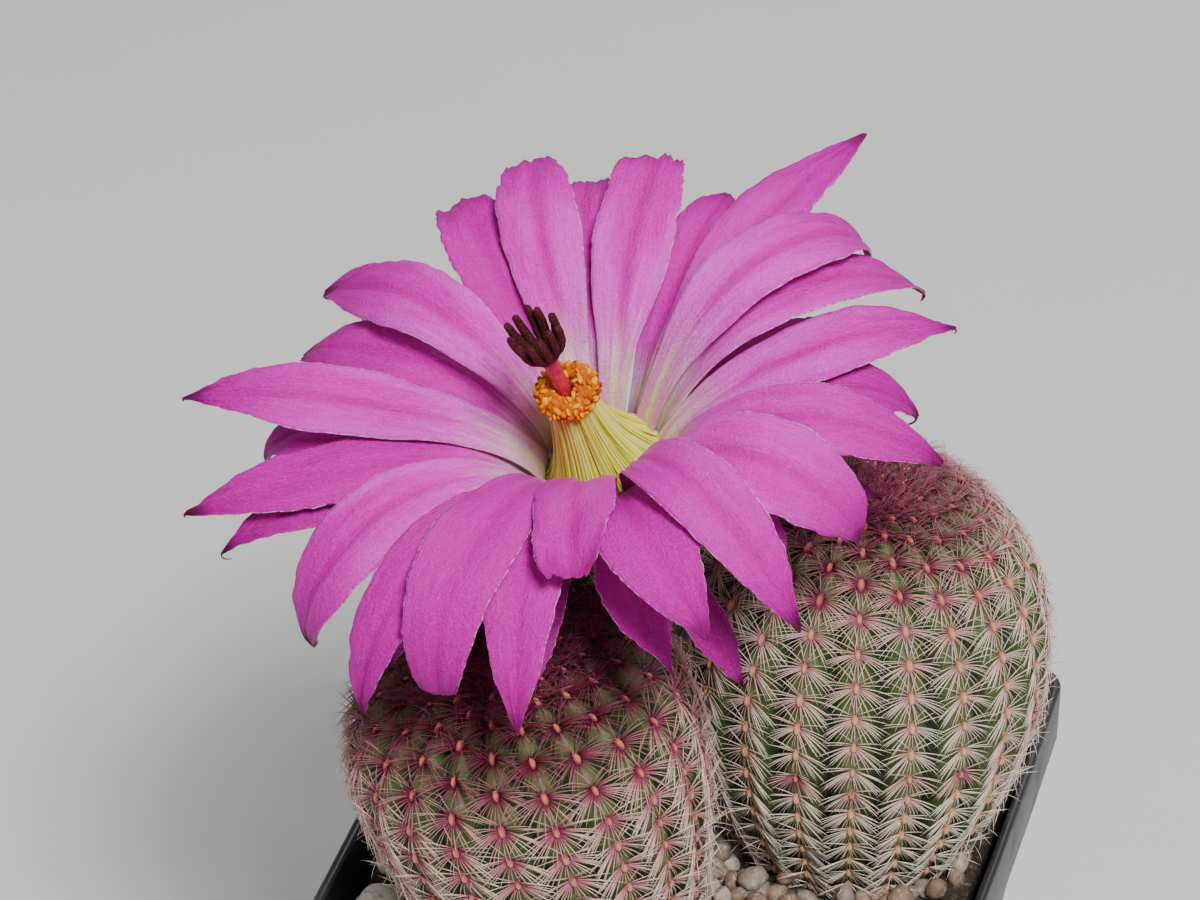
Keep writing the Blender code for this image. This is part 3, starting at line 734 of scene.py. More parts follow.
# Least distance, smallest and largest stone, lift over the ground and margin round the plants, in mm.
LAYERS = ((2.3, 3.0, 4.4, -0.2, 0.2), (3.8, 2.8, 4.6, 1.7, 1.0))
GRID_STEP = 1.0 * MM
kinds = [stone(f"kind_{index}", index, 2, size) for index, size in enumerate(STONE_SHAPES)]
layers = []
for index, (least, small, large, lift, margin) in enumerate(LAYERS):
    ground = ground_grid(GRID_STEP, margin * MM, bed_half - 0.9 * MM, lift * MM)
    values = {"Least distance": least * MM, "Smallest": small * MM, "Largest": large * MM, "Seed": 11 + index}
    values.update({f"Stone {number}": kind for number, kind in enumerate(kinds)})
    layers.append(grow(f"gravel_layer_{index + 1}", ground, scatter_tree, values, stone_finish))
    drop(ground)
drop(*kinds)
for layer in layers:
    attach(layer, "root")

# %% The bed under the stones
bed_loops = [square_loop(bed_half, inner_corner, GROUND - GRAVEL_DEPTH)]
BED_RINGS = 40
for step in range(BED_RINGS, 0, -1):
    share = step / BED_RINGS
    loop = square_loop(bed_half * share, inner_corner * share, GROUND)
    for point in loop:
        point.z += GRAVEL_BUMP * (0.9 * noise.noise(point * 260.0) - 0.9)
    bed_loops.append(loop)
points, faces = skin_loops(bed_loops)
grit_finish, tree, shader = new_finish("shaded_grit", 0.9)
grit = grain(tree, place(tree), 900.0, 6.0, 0.7)
colour = ramp(tree, grit, [(0.32, (0.010, 0.007, 0.005)), (0.55, (0.045, 0.030, 0.020)),
                           (0.72, (0.20, 0.16, 0.12))])
paint(tree, shader, colour)
relief(tree, shader, grit, 0.6 * MM)
bed = face_outwards(new_object("gravel_floor", points, faces, grit_finish))
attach(bed, "root")
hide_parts("gravel_bed")
print("bed", triangles(bed), "triangles")

# %% [markdown]
# ## The ribbed skin
#
# A rainbow hedgehog cactus has about twenty-one low ribs that swell a little under every areole, the
# felted cushion that carries the spines. New areoles are born crowded in the dimple at the tip and move
# apart as the plant grows, and each rib starts a fixed step later than its neighbour, so the cushions
# fall into spirals. One function gives the skin's height over the outline, and it serves the skin, the
# cushions and the spines alike.

# %% Ribs and swellings
AREOLE_STEP = 4.4 * MM
CROWDING = 1.6
SLOWING = 0.008
RIB_STAGGER = 8
FURROW = 2.3 * MM
SWELLING = 0.45 * MM
RIB_START = 0.55


def areole_arc(count):
    """How far from the tip the areole of that number sits; the numbers need not be whole."""
    return AREOLE_STEP * (count - CROWDING * (1.0 - math.exp(-count / CROWDING)) - SLOWING * count * count)


def areole_count(arc):
    low, high = 0.0, 60.0
    for _ in range(30):
        middle = (low + high) / 2
        if areole_arc(middle) < arc:
            low = middle
        else:
            high = middle
    return low


def rib_phase(plant, rib):
    return (rib * RIB_STAGGER % plant.ribs) / plant.ribs


def rib_crest(turn):
    """1 on a rib's crest and 0 in a furrow; turn counts ribs, with a crest at each whole number."""
    return abs(math.cos((turn - math.floor(turn + 0.5)) * math.pi))


def skin_point(plant, line, arc, turn, count=None):
    """A point of the skin in the plant's own frame."""
    radius, height, out = outline_at(line, arc)
    rib = math.floor(turn + 0.5) % plant.ribs
    crest = rib_crest(turn)
    fade = smooth(radius / (RIB_START * plant.radius))
    count = areole_count(arc) if count is None else count
    beat = 0.5 + 0.5 * math.cos(math.tau * (count - rib_phase(plant, rib)))
    lift = fade * (RIB_DEPTH - FURROW * (1.0 - crest ** 0.8) + SWELLING * (beat - 0.6) * crest * crest)
    angle = math.tau * (turn + 0.5) / plant.ribs
    radius += out.x * lift
    return polar(radius, angle, height + out.y * lift)


# %% Olive green skin, with painted shade in the furrows
skin_finish, tree, shader = new_finish("olive_green_skin", 0.55, Specular_IOR_Level=0.35)
where = place(tree)
crest = stored(tree, "crest")
age = stored(tree, "age")
mottle = grain(tree, where, 300.0, 5.0, 0.6)
pores = grain(tree, where, 2600.0, 3.0)
# Painted shade: the green darkens from the crests of the ribs down to near black in the furrows between them.
green = ramp(tree, stray(tree, crest, mottle, 0.5),
             [(0.0, (0.012, 0.020, 0.006)), (0.35, (0.034, 0.060, 0.014)), (0.75, (0.075, 0.115, 0.030)),
              (1.0, (0.12, 0.13, 0.05))])
corky = blend(tree, ease(tree, age, 0.84, 1.0, 0.0, 0.7), green, (0.23, 0.17, 0.10))
colour = blend(tree, ease(tree, pores, 0.60, 0.72, 0.0, 0.35), corky, (0.22, 0.27, 0.12))
paint(tree, shader, colour)
relief(tree, shader, plus(tree, pores, mottle), 0.10 * MM, 0.6)

# %% The two bodies
SKIN_ROWS = 150
SKIN_STEPS = 12
plants = {"left": (LEFT, left_origin()), "right": (RIGHT, right_origin())}
for side, (plant, origin) in plants.items():
    line = lines[side]
    turn = plant_frame(plant, origin)
    columns = plant.ribs * SKIN_STEPS
    turns = [column / SKIN_STEPS for column in range(columns)]
    loops, crests, ages = [], [], []
    for row in range(1, SKIN_ROWS + 1):
        arc = line.total * row / SKIN_ROWS
        count = areole_count(arc)
        loops.append([turn @ skin_point(plant, line, arc, t, count) for t in turns])
        crests += [rib_crest(t) for t in turns]
        ages += [arc / line.total] * columns
    points, faces = skin_loops(loops, capped=False)
    points.append(turn @ Vector((0.0, 0.0, plant.top - DIMPLE_DEPTH)))
    points.append(turn @ Vector((0.0, 0.0, line.heights[-1])))
    last = len(points) - 2 - columns
    for step in range(columns):
        after = (step + 1) % columns
        faces.append((after, step, len(points) - 2))
        faces.append((last + step, last + after, len(points) - 1))
    body = new_object(f"ribbed_body_{side}", points, faces, skin_finish)
    point_value(body, "crest", crests + [1.0, 1.0])
    point_value(body, "age", ages + [0.0, 1.0])
    face_outwards(body)
    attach(body, "root")
    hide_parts(f"cactus_{side}")
    print(body.name, triangles(body), "triangles")

# %% [markdown]
# ## Areoles and spines
#
# Each areole is an oval cushion of peach-coloured felt. Thirty or more thin spines leave it like the
# teeth of two combs, lie almost flat over the skin and cross those of the next rib. Near the tip they
# are young: rose red, short and upright. Lower down they are cream and bend towards the ground. The
# places are computed once as loose points that carry their directions; a node tree then copies each
# point, turns a spine round it and grows the whole coat. Every spine is one bent spike of few faces.

# %% One spine and one cushion
PAD_SIDES = 10
PAD_CROWN = 0.62


def pointed(name, loops, tip):
    """A shape of stacked loops with a flat foot, closed by a point."""
    sides = len(loops[0])
    points, faces = skin_loops(loops, capped=False)
    start = len(points) - sides
    points.append(tip)
    faces.append(tuple(range(sides))[::-1])
    faces += [(start + step, start + (step + 1) % sides, len(points) - 1) for step in range(sides)]
    return new_object(name, points, faces)


def bent_spike(name, thickness, sides, rings, bend):
    """A spike of length 1 along Z that bends towards +X, with its share of the length on each point."""
    loops, shares = [], []
    for step in range(rings):
        share = step / rings
        radius = thickness * (1.0 - share ** 1.6) ** 0.8
        loops.append([Vector((bend * share * share + radius * math.cos(a), radius * math.sin(a), share))
                      for a in full_turn(sides)])
        shares += [share] * sides
    made = pointed(name, loops, Vector((bend, 0.0, 1.0)))
    point_value(made, "share", shares + [1.0])
    return face_outwards(made)


def felt_pad(name):
    """A low oval cushion, 1 wide and 2 long, with its own height on each point."""
    loops, crowns = [], []
    for radius, height in ((0.92, -0.25), (1.0, 0.0), (0.86, 0.34), (0.5, 0.56)):
        loops.append([Vector((0.5 * radius * math.cos(a), radius * math.sin(a), height))
                      for a in full_turn(PAD_SIDES)])
        crowns += [max(height, 0.0)] * PAD_SIDES
    made = pointed(name, loops, Vector((0.0, 0.0, PAD_CROWN)))
    point_value(made, "crown", crowns + [PAD_CROWN])
    return face_outwards(made)


spine = bent_spike("one_spine", 0.021, 3, 4, 0.36)
pad = felt_pad("one_pad")
print("one spine", triangles(spine), "triangles, one pad", triangles(pad))

# %% Spine and felt finishes
spine_finish, tree, shader = new_finish("rose_and_cream_spines", 0.45, Specular_IOR_Level=0.4)
share = stored(tree, "share")
rose = stored(tree, "rose")
pale = ramp(tree, share, [(0.0, (0.70, 0.42, 0.30)), (0.18, (0.78, 0.66, 0.50)), (0.6, (0.86, 0.80, 0.66)),
                          (1.0, (0.90, 0.87, 0.76))])
red = ramp(tree, share, [(0.0, (0.26, 0.012, 0.070)), (0.22, (0.40, 0.085, 0.15)), (0.48, (0.72, 0.42, 0.38)),
                         (1.0, (0.90, 0.76, 0.60))])
wine = ramp(tree, share, [(0.0, (0.10, 0.002, 0.02)), (0.45, (0.22, 0.012, 0.06)), (0.8, (0.29, 0.06, 0.11)),
                          (1.0, (0.44, 0.19, 0.23))])
coat = blend(tree, calc(tree, "MULTIPLY", rose, 1.0, True), pale, red)
paint(tree, shader, blend(tree, calc(tree, "SUBTRACT", rose, 1.0, True), coat, wine))
relief(tree, shader, grain(tree, place(tree), 3000.0, 2.0), 0.02 * MM, 0.4)

felt_finish, tree, shader = new_finish("areole_felt", 0.9, Sheen_Weight=0.4)
crown = stored(tree, "crown")
rose = stored(tree, "rose")
fuzz = grain(tree, place(tree), 5200.0, 4.0, 0.7)
height = stray(tree, crown, fuzz, 0.3)
peach = ramp(tree, height, [(0.0, (0.50, 0.20, 0.12)), (0.35, (0.74, 0.34, 0.16)), (0.6, (0.86, 0.52, 0.26))])
ruddy = ramp(tree, height, [(0.0, (0.20, 0.008, 0.03)), (0.44, (0.38, 0.030, 0.06)),
                            (0.66, (0.72, 0.24, 0.10))])
paint(tree, shader, blend(tree, calc(tree, "MULTIPLY", rose, 1.0, True), peach, ruddy))
relief(tree, shader, fuzz, 0.10 * MM)

# %% Where the areoles sit
Seat = namedtuple("Seat", "point outward upward size lift rose droop")
YOUNG_ZONE = {"left": 15.0 * MM, "right": 10.0 * MM}
GROWTH_PAUSE = 40.0 * MM
SPINE_LENGTH = {"left": 4.9 * MM, "right": 4.4 * MM}
YOUNG_FADE = 11.0 * MM
YOUNG_SHORTER = 0.4
YOUNG_RED = 0.9
PAUSE_WIDTH = 1.6 * MM
PAUSE_RED = 0.6
OLD_LIFT = 15
YOUNG_LIFT = 27
CROWN_LIFT = 17
LEAST_DROOP = 0.12
MORE_DROOP = 0.50
BARE_TIP = 1.6 * MM


def areole_seats(plant, origin, side, reds):
    """Every areole of a plant, tip to foot: reds gives its redness at the tip, shoulder, waist and foot."""
    line = lines[side]
    turn = plant_frame(plant, origin)
    flat = turn.to_3x3()
    seats = []
    for rib in range(plant.ribs):
        number = rib_phase(plant, rib) + 1.0
        while areole_arc(number) < line.total - GRAVEL_DEPTH:
            arc = areole_arc(number)
            point = skin_point(plant, line, arc, rib)
            above = skin_point(plant, line, max(arc - 0.5 * MM, 0.1 * MM), rib)
            radius, _, out = outline_at(line, arc)
            angle = math.tau * (rib + 0.5) / plant.ribs
            outward = polar(out.x, angle, out.y)
            upward = above - point
            upward = (upward - outward * upward.dot(outward)).normalized()
            young = smooth(1.0 - (arc - YOUNG_ZONE[side]) / YOUNG_FADE)
            pause = math.exp(-((arc - GROWTH_PAUSE) / PAUSE_WIDTH) ** 2) * (side == "right")
            share = arc / line.total * 3.0
            zone = min(int(share), 2)
            tone = reds[zone] + (reds[zone + 1] - reds[zone]) * (share % 1)
            if radius > BARE_TIP:
                seats.append(Seat(turn @ point, flat @ outward, flat @ upward,
                                  SPINE_LENGTH[side] - YOUNG_SHORTER * young * MM,
                                  math.radians(OLD_LIFT + YOUNG_LIFT * young),
                                  tone + YOUNG_RED * young + PAUSE_RED * pause,
                                  LEAST_DROOP + MORE_DROOP * smooth((share - 0.8) / 1.2)))
            number += 1.0
    return seats


def seat_cloud(name, seats):
    made = new_object(name, [seat.point for seat in seats], [])
    point_value(made, "outward", [seat.outward for seat in seats], "FLOAT_VECTOR")
    point_value(made, "upward", [seat.upward for seat in seats], "FLOAT_VECTOR")
    for field in ("size", "lift", "rose", "droop"):
        point_value(made, field, [getattr(seat, field) for seat in seats])
    return made


seats = {"left": areole_seats(LEFT, left_origin(), "left", (1.2, 1.0, 0.70, 0.25)),
         "right": areole_seats(RIGHT, right_origin(), "right", (1.2, 0.60, 0.18, 0.0))}
print("areoles:", {side: len(found) for side, found in seats.items()})

# %% A tree that grows combs of spines
COMB_PULL = -0.37
tree, inputs = new_tree("grow_spines", [("Spine", "Object"), ("Count", "Int"), ("Scatter", "Float"),
                                        ("Spread", "Float")])
cloud = add(tree, "GeometryNodeMeshToPoints", {"Mesh": inputs["Base"]}).outputs[0]
copies = add(tree, "GeometryNodeDuplicateElements", {"Geometry": cloud, "Amount": inputs["Count"]},
             domain="POINT")
outward = carried(tree, "outward", "FLOAT_VECTOR")
upward = carried(tree, "upward", "FLOAT_VECTOR")
sideways = vector(tree, "CROSS_PRODUCT", upward, outward)
step = calc(tree, "DIVIDE", math.tau, inputs["Count"])
jitter = times(tree, chance(tree, -0.5, 0.5, 1), inputs["Scatter"])
turn = times(tree, plus(tree, copies.outputs[1], jitter), step)
comb = times(tree, calc(tree, "SINE", times(tree, turn, 2.0)), COMB_PULL)
turn = plus(tree, turn, comb)
across = calc(tree, "COSINE", turn)
along = calc(tree, "SINE", turn)
rise = times(tree, carried(tree, "lift"), chance(tree, 0.45, 1.5, 2))
flat = calc(tree, "COSINE", rise)
aim = vector(tree, "ADD", vector(tree, "SCALE", sideways, scale=times(tree, across, flat)),
             vector(tree, "SCALE", upward, scale=calc(tree, "SUBTRACT", times(tree, along, flat),
                                                      carried(tree, "droop"))))
aim = vector(tree, "ADD", aim, vector(tree, "SCALE", outward, scale=calc(tree, "SINE", rise)))
sag = plus(tree, times(tree, carried(tree, "droop"), 3.0), 0.6)
lean = vector(tree, "ADD", outward, vector(tree, "SCALE", upward, scale=sag))
lean = vector(tree, "SCALE", lean, scale=-1.0)
root = vector(tree, "ADD", vector(tree, "SCALE", upward, scale=times(tree, along, inputs["Spread"])),
              vector(tree, "SCALE", sideways,
                     scale=times(tree, across, times(tree, inputs["Spread"], 0.35))))
moved = add(tree, "GeometryNodeSetPosition", {0: copies.outputs[0], "Offset": root}).outputs[0]
longer = plus(tree, times(tree, calc(tree, "ABSOLUTE", across), 0.30), 0.72)
size = times(tree, carried(tree, "size"), longer, chance(tree, 0.84, 1.12, 4))
close_tree(tree, inputs, copies_on(tree, moved, object_shape(tree, inputs["Spine"]),
                                   turn_to(tree, aim, lean, "X"), size))
spine_tree = tree

# %% A tree that sets a cushion on each areole
tree, inputs = new_tree("set_cushions", [("Pad", "Object"), ("Width", "Float")])
cloud = add(tree, "GeometryNodeMeshToPoints", {"Mesh": inputs["Base"]}).outputs[0]
pose = turn_to(tree, carried(tree, "outward", "FLOAT_VECTOR"), carried(tree, "upward", "FLOAT_VECTOR"), "Y")
size = times(tree, inputs["Width"], chance(tree, 0.85, 1.2, 6))
close_tree(tree, inputs, copies_on(tree, cloud, object_shape(tree, inputs["Pad"]), pose, size))
pad_tree = tree

# %% The coats of spines
YOUNG_SPINES = 38
OLD_SPINES = 30
SPINE_SCATTER = 0.7
SPINE_SPREAD = 0.45 * MM
PAD_WIDTH = 0.78 * MM
for side, found in seats.items():
    young = [seat for seat in found if seat.lift > math.radians(CROWN_LIFT)]
    old = [seat for seat in found if seat.lift <= math.radians(CROWN_LIFT)]
    coats = []
    for part, chosen, number in (("crown", young, YOUNG_SPINES), ("flank", old, OLD_SPINES)):
        cloud = seat_cloud(f"areoles_{side}_{part}", chosen)
        coats.append(grow(f"spines_{side}_{part}", cloud, spine_tree,
                          {"Spine": spine, "Count": number, "Scatter": SPINE_SCATTER,
                           "Spread": SPINE_SPREAD},
                          spine_finish))
        drop(cloud)
    cloud = seat_cloud(f"areoles_{side}", found)
    coats.append(grow(f"areole_pads_{side}", cloud, pad_tree, {"Pad": pad, "Width": PAD_WIDTH}, felt_finish))
    drop(cloud)
    for piece in coats:
        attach(piece, "root")

# %% [markdown]
# ## The flower's frame and its tube
#
# The flower leaves the left plant's far shoulder on a short tube and opens over both plants. Its own
# frame has its origin in the middle of the throat and Z along its leaning axis. The tube is a sweep
# along a bent path; it has low scales, each with a few bristles, as the real one has.

# %% The flower's frame
def seat_point():
    """Where the flower's tube leaves the left plant, and the skin's outward direction there."""
    turn = plant_frame(LEFT, left_origin())
    bearing = math.radians(SEAT_BEARING)
    out = polar(1.0, bearing)
    step = 0.2 * MM
    here = plant_radius(LEFT, SEAT_HEIGHT)
    slope = (plant_radius(LEFT, SEAT_HEIGHT - step) - here) / step
    normal = (out + Vector((0.0, 0.0, slope))).normalized()
    point = out * here + Vector((0.0, 0.0, SEAT_HEIGHT)) + normal * (SEAT_LIFT + RIB_DEPTH)
    return turn @ point, (turn.to_3x3() @ normal).normalized()


def flower_frame():
    lean = math.radians(FLOWER_LEAN)
    bearing = math.radians(FLOWER_LEAN_BEARING)
    axis = polar(math.sin(lean), bearing, math.cos(lean))
    right = (Vector((1.0, 0.0, 0.0)) - axis * axis.x).normalized()
    turn = Matrix((right, axis.cross(right), axis)).transposed().to_4x4()
    throat = seat_point()[0] + Vector((*THROAT_SHIFT, THROAT_RISE))
    return Matrix.Translation(throat) @ turn


def swept_loops(path, radii, sides, wave):
    """Round loops along a path, each square to it; wave changes a loop's radius point by point."""
    loops = []
    for index, (point, radius) in enumerate(zip(path, radii)):
        run = (path[min(index + 1, len(path) - 1)] - path[max(index - 1, 0)]).normalized()
        loops.append([point + radius * wave(index, angle) * spoke(angle, *square_to(run))
                      for angle in full_turn(sides)])
    return loops


def bezier_point(start, start_pull, end_pull, end, t):
    u = 1.0 - t
    return start * u ** 3 + start_pull * 3 * u * u * t + end_pull * 3 * u * t * t + end * t ** 3


def bezier(start, start_pull, end_pull, end, count):
    return [bezier_point(start, start_pull, end_pull, end, step / count) for step in range(count + 1)]


flower = flower_frame()
flower_axis = flower.to_3x3() @ Vector((0.0, 0.0, 1.0))
print("throat, mm:", [round(v / MM, 1) for v in flower.translation])

# %% The scaly tube
tube_finish, tree, shader = new_finish("scaly_tube_skin", 0.55)
where = place(tree)
scale = stored(tree, "scale")
cloud = grain(tree, where, 500.0, 4.0)
shade = stray(tree, scale, cloud, 0.6)
colour = ramp(tree, shade, [(0.0, (0.060, 0.070, 0.020)), (0.45, (0.16, 0.15, 0.050)),
                            (1.0, (0.34, 0.13, 0.09))])
colour = blend(tree, stored(tree, "inner"), colour, (0.85, 0.74, 0.22))
paint(tree, shader, colour)
relief(tree, shader, cloud, 0.15 * MM)

TUBE_ROWS = 40
TUBE_SIDES = 60
TUBE_RANKS = 8
seat, seat_normal = seat_point()
rim_drop = CUP_RADIUS - WHORL_RADIUS + 1.6 * MM
cup = flower.translation - flower_axis * rim_drop
tube_path = bezier(seat, seat + seat_normal * 4.0 * MM, cup - flower_axis * 5.0 * MM, cup, TUBE_ROWS)
tube_radii = [TUBE_RADIUS + (CUP_RADIUS - TUBE_RADIUS) * smooth(step / TUBE_ROWS * 1.25 - 0.25)
              for step in range(TUBE_ROWS + 1)]


def scale_wave(row, angle):
    """Overlapping scales in ranks: each swells upwards and ends in a step."""
    rank = angle / math.tau * TUBE_RANKS
    number = row / TUBE_ROWS * 6.0 + 0.5 * (math.floor(rank) % 2)
    ridge = abs(math.cos((rank - math.floor(rank) - 0.5) * math.pi))
    return 1.0 - 0.05 + 0.07 * (number % 1.0) * ridge


loops = swept_loops(tube_path, tube_radii, TUBE_SIDES, scale_wave)
values = [(row / TUBE_ROWS * 6.0) % 1.0 for row in range(TUBE_ROWS + 1) for _ in range(TUBE_SIDES)]
back = flower.inverted()
turns = [math.atan2((back @ point).y, (back @ point).x) for point in loops[-1]]
for share in (0.2, 0.45, 0.7, 0.9, 1.0):
    radius = CUP_RADIUS + (FLOOR_RADIUS - CUP_RADIUS) * share
    height = -rim_drop + 0.5 * MM + (rim_drop - 1.4 * MM) * smooth(share)
    loops.append([flower @ polar(radius, t, height) for t in turns])
    values += [0.3 + 0.5 * share] * TUBE_SIDES
points, faces = skin_loops(loops)
tube = new_object("scaly_tube", points, faces, tube_finish)
point_value(tube, "scale", values)
point_value(tube, "inner", [0.0] * (TUBE_ROWS + 4) * TUBE_SIDES + [1.0] * 2 * TUBE_SIDES)
face_outwards(tube)
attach(tube, "root")
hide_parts("flower_tube")

# %% Bristles on the tube
BRISTLE_STEP = 5
BRISTLE_LENGTH = 3.1 * MM
tube_seats = []
for row in range(4, TUBE_ROWS - 4, BRISTLE_STEP):
    radius = tube_radii[row] * 1.01
    run = (tube_path[row + 1] - tube_path[row - 1]).normalized()
    for angle in full_turn(TUBE_RANKS, 0.5 + 0.5 * (row // BRISTLE_STEP % 2)):
        out = spoke(angle, *square_to(run))
        tube_seats.append(Seat(tube_path[row] + out * radius, out, run, BRISTLE_LENGTH, 0.75, 0.7, 0.0))
cloud = seat_cloud("tube_areoles", tube_seats)
bristles = grow("tube_bristles", cloud, spine_tree,
                {"Spine": spine, "Count": 10, "Scatter": 1.0, "Spread": 0.25 * MM}, spine_finish)
drop(cloud)
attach(bristles, "root")

# %% [markdown]
# ## The petals
#
# Twenty-seven petals open in about three whorls. Each starts as a narrow cream claw, widens past the
# middle, droops, and ends in a ragged edge or in a dark point that may curl into a hook. A petal is two
# skins a third of a millimetre apart, joined at the rim. The midrib is followed step by step from its
# slopes, as on the plain solid, and the cross-section adds what makes it a petal: a cup at the foot, a
# keel along the middle, fine pleats, and an edge that waves.

# %% The table of petals
# Bearing round the throat, whorl, length, width, slopes at the base, a third, two thirds and the tip,
# sweep, twist and tip width are those of the plain solid, except that petal 15 rises a little more
# steeply. Then come how ragged the tip is, how long its hook is in mm, how dark the tip is, how much the
# sides fold, and how wide the claw is. Angles are in degrees.
Petal = namedtuple("Petal", "bearing whorl length width rise first second last sweep twist tip "
                            "ragged hook dark fold claw", defaults=(0.32,))
PETALS = [
    Petal(117, 0, 39, 9.4, 61, 28, 1, -47, -2, 0, 0.45, 0.7, 0.0, 0.1, 0.1),
    Petal(131, 1, 37, 8.8, 66, 26, 0, -48, -2, 10, 0.55, 0.9, 0.0, 0.1, 0.2),
    Petal(92, 0, 37, 9.4, 58, 28, 5, -35, 5, 0, 0.60, 1.0, 0.0, 0.1, 0.2),
    Petal(106, 1, 35, 9.0, 60, 26, 0, -52, 4, 0, 0.50, 0.6, 0.0, 0.1, 0.1),
    Petal(79, 2, 34, 7.0, 58, 29, 6, -56, 3, 0, 0.12, 0.3, 0.0, 0.2, 0.3),
    Petal(67, 1, 48, 8.2, 58, 26, -10, -19, -5, -8, 0.06, 0.1, 0.6, 0.5, 0.2),
    Petal(55, 0, 50, 9.6, 67, 41, -20, -96, -10, -8, 0.10, 0.3, 0.0, 0.3, 0.2),
    Petal(47, 1, 50, 9.0, 71, 38, -29, -71, -13, -26, 0.08, 0.2, 1.2, 0.7, 0.2),
    Petal(29, 0, 44, 8.6, 62, 27, -2, -52, 7, -10, 0.04, 0.1, 1.0, 0.8, 0.2),
    Petal(21, 2, 40, 7.0, 70, 36, -4, -95, -6, 0, 0.05, 0.1, 3.2, 0.9, 0.3),
    Petal(10, 1, 44, 8.8, 79, 38, -14, -62, -6, 0, 0.05, 0.1, 0.6, 0.6, 0.2),
    Petal(354, 0, 42, 11.0, 78, 46, -14, -95, -13, 12, 0.08, 0.2, 0.6, 0.5, 0.2),
    Petal(339, 2, 30, 8.0, 94, 46, 2, -96, -4, -4, 0.10, 0.2, 0.0, 0.3, 0.2),
    Petal(330, 1, 51, 8.6, 98, 61, -3, -63, -14, -12, 0.05, 0.1, 0.8, 0.8, 0.3),
    Petal(307, 0.4, 44, 10.2, 88, 55, 16, -2, 8, -4, 0.10, 0.1, 0.4, 0.5, 0.2, 0.55),
    Petal(298, 1.5, 32, 7.0, 86, 31, 6, 10, 16, -30, 0.05, 0.1, 3.4, 0.6, 0.5),
    Petal(286, -0.2, 36, 9.0, 102, 64, 24, 10, 2, -4, 0.55, 0.8, 0.0, 0.1, 1.6, 0.66),
    Petal(272, 1.2, 47, 8.6, 86, 59, -8, -45, 11, 4, 0.04, 0.1, 0.5, 0.5, 0.2),
    Petal(255, 0.5, 50, 10.0, 98, 48, 0, -95, 16, -4, 0.30, 0.2, 0.0, 0.2, 0.2),
    Petal(245, 1.2, 52, 7.6, 85, 47, -15, -89, 7, 0, 0.05, 0.1, 0.5, 0.5, 0.2),
    Petal(224, 0, 50, 9.6, 76, 38, -26, -95, 16, 0, 0.14, 0.3, 1.2, 1.0, 0.2, 0.36),
    Petal(211, 2, 43, 6.6, 82, 25, 8, -44, 1, 0, 0.05, 0.1, 2.6, 0.9, 0.3),
    Petal(207, 1, 46, 8.2, 80, 28, 1, -10, 0, 0, 0.06, 0.2, 1.0, 0.9, 0.2, 0.52),
    Petal(193, 2, 40, 6.4, 76, 26, 8, -92, -3, 0, 0.08, 0.1, 2.4, 0.9, 0.3),
    Petal(190, 0, 47, 8.8, 78, 25, 13, -23, -1, 4, 0.05, 0.5, 0.8, 0.7, 0.3, 0.44),
    Petal(168, 1, 40, 7.8, 79, 32, -13, -58, 11, 0, 0.12, 0.2, 0.0, 0.3, 0.2, 0.55),
    Petal(154, 0, 47, 9.2, 83, 38, -27, -53, 16, 0, 0.06, 0.2, 1.2, 0.8, 0.2),
]
SEPALS = [Petal(*row, 0, 0, 0.05, 0.1, 0.6, 1.0, 0.3) for row in (
    (8, 3, 26, 5.0, 60, 10, -14, -50), (52, 3, 27, 5.0, 56, 8, -14, -46),
    (98, 3, 25, 5.0, 50, 6, -16, -44), (144, 3, 27, 5.0, 54, 8, -16, -50),
    (184, 3, 25, 5.0, 58, 8, -20, -60), (236, 3, 28, 4.6, 66, 12, -18, -64),
    (268, 3, 22, 4.6, 70, 14, -14, -50), (316, 3, 26, 5.0, 68, 14, -14, -50))]

# %% Midrib and width
PETAL_STEPS = 40
PETAL_KNOTS = (0.0, 0.14, 0.32, 0.65, 1.0)
PETAL_WIDEST = 0.62
PETAL_CUP = 0.16


def along_knots(knots, values, share):
    for index in range(len(knots) - 1):
        if share <= knots[index + 1]:
            part = (share - knots[index]) / (knots[index + 1] - knots[index])
            return values[index] + (values[index + 1] - values[index]) * part
    return values[-1]


def petal_width(petal, share):
    width = petal.width * MM
    if share < PETAL_WIDEST:
        grown = math.sin(math.pi / 2 * (share / PETAL_WIDEST) ** 1.25) ** 2
        return width * (petal.claw + (1.0 - petal.claw) * grown)
    past = min((share - PETAL_WIDEST) / (1.0 - PETAL_WIDEST), 1.0)
    taper = (1.0 - past ** 2.2) if petal.tip > 0.2 else (1.0 - past ** 2.1) ** 1.15
    return width * (petal.tip + (1.0 - petal.tip) * taper)


def midrib(petal):
    """Point, sideways and upward direction at each step of the midrib, in the flower's frame."""
    base = WHORL_RADIUS + WHORL_STEP * petal.whorl
    bearing = math.radians(petal.bearing)
    point = polar(base, bearing, -WHORL_STEP * petal.whorl)
    slopes = (petal.rise, petal.rise * 0.62 + petal.first * 0.38, petal.first, petal.second, petal.last)
    stations = []
    for step in range(PETAL_STEPS + 1):
        share = step / PETAL_STEPS
        slope = math.radians(along_knots(PETAL_KNOTS, slopes, share))
        heading = bearing + math.radians(petal.sweep) * share ** 2
        ahead = polar(math.cos(slope), heading, math.sin(slope))
        level = Vector((-math.sin(heading), math.cos(heading), 0.0))
        side = Matrix.Rotation(math.radians(petal.twist) * share ** 2, 3, ahead) @ level
        stations.append((point, side, ahead.cross(side), ahead))
        point = point + ahead * (petal.length * MM / PETAL_STEPS)
    return stations


def station(stations, share):
    spot = min(max(share, 0.0), 1.0) * (len(stations) - 1)
    index = min(int(spot), len(stations) - 2)
    return [stations[index][k].lerp(stations[index + 1][k], spot - index) for k in range(4)]


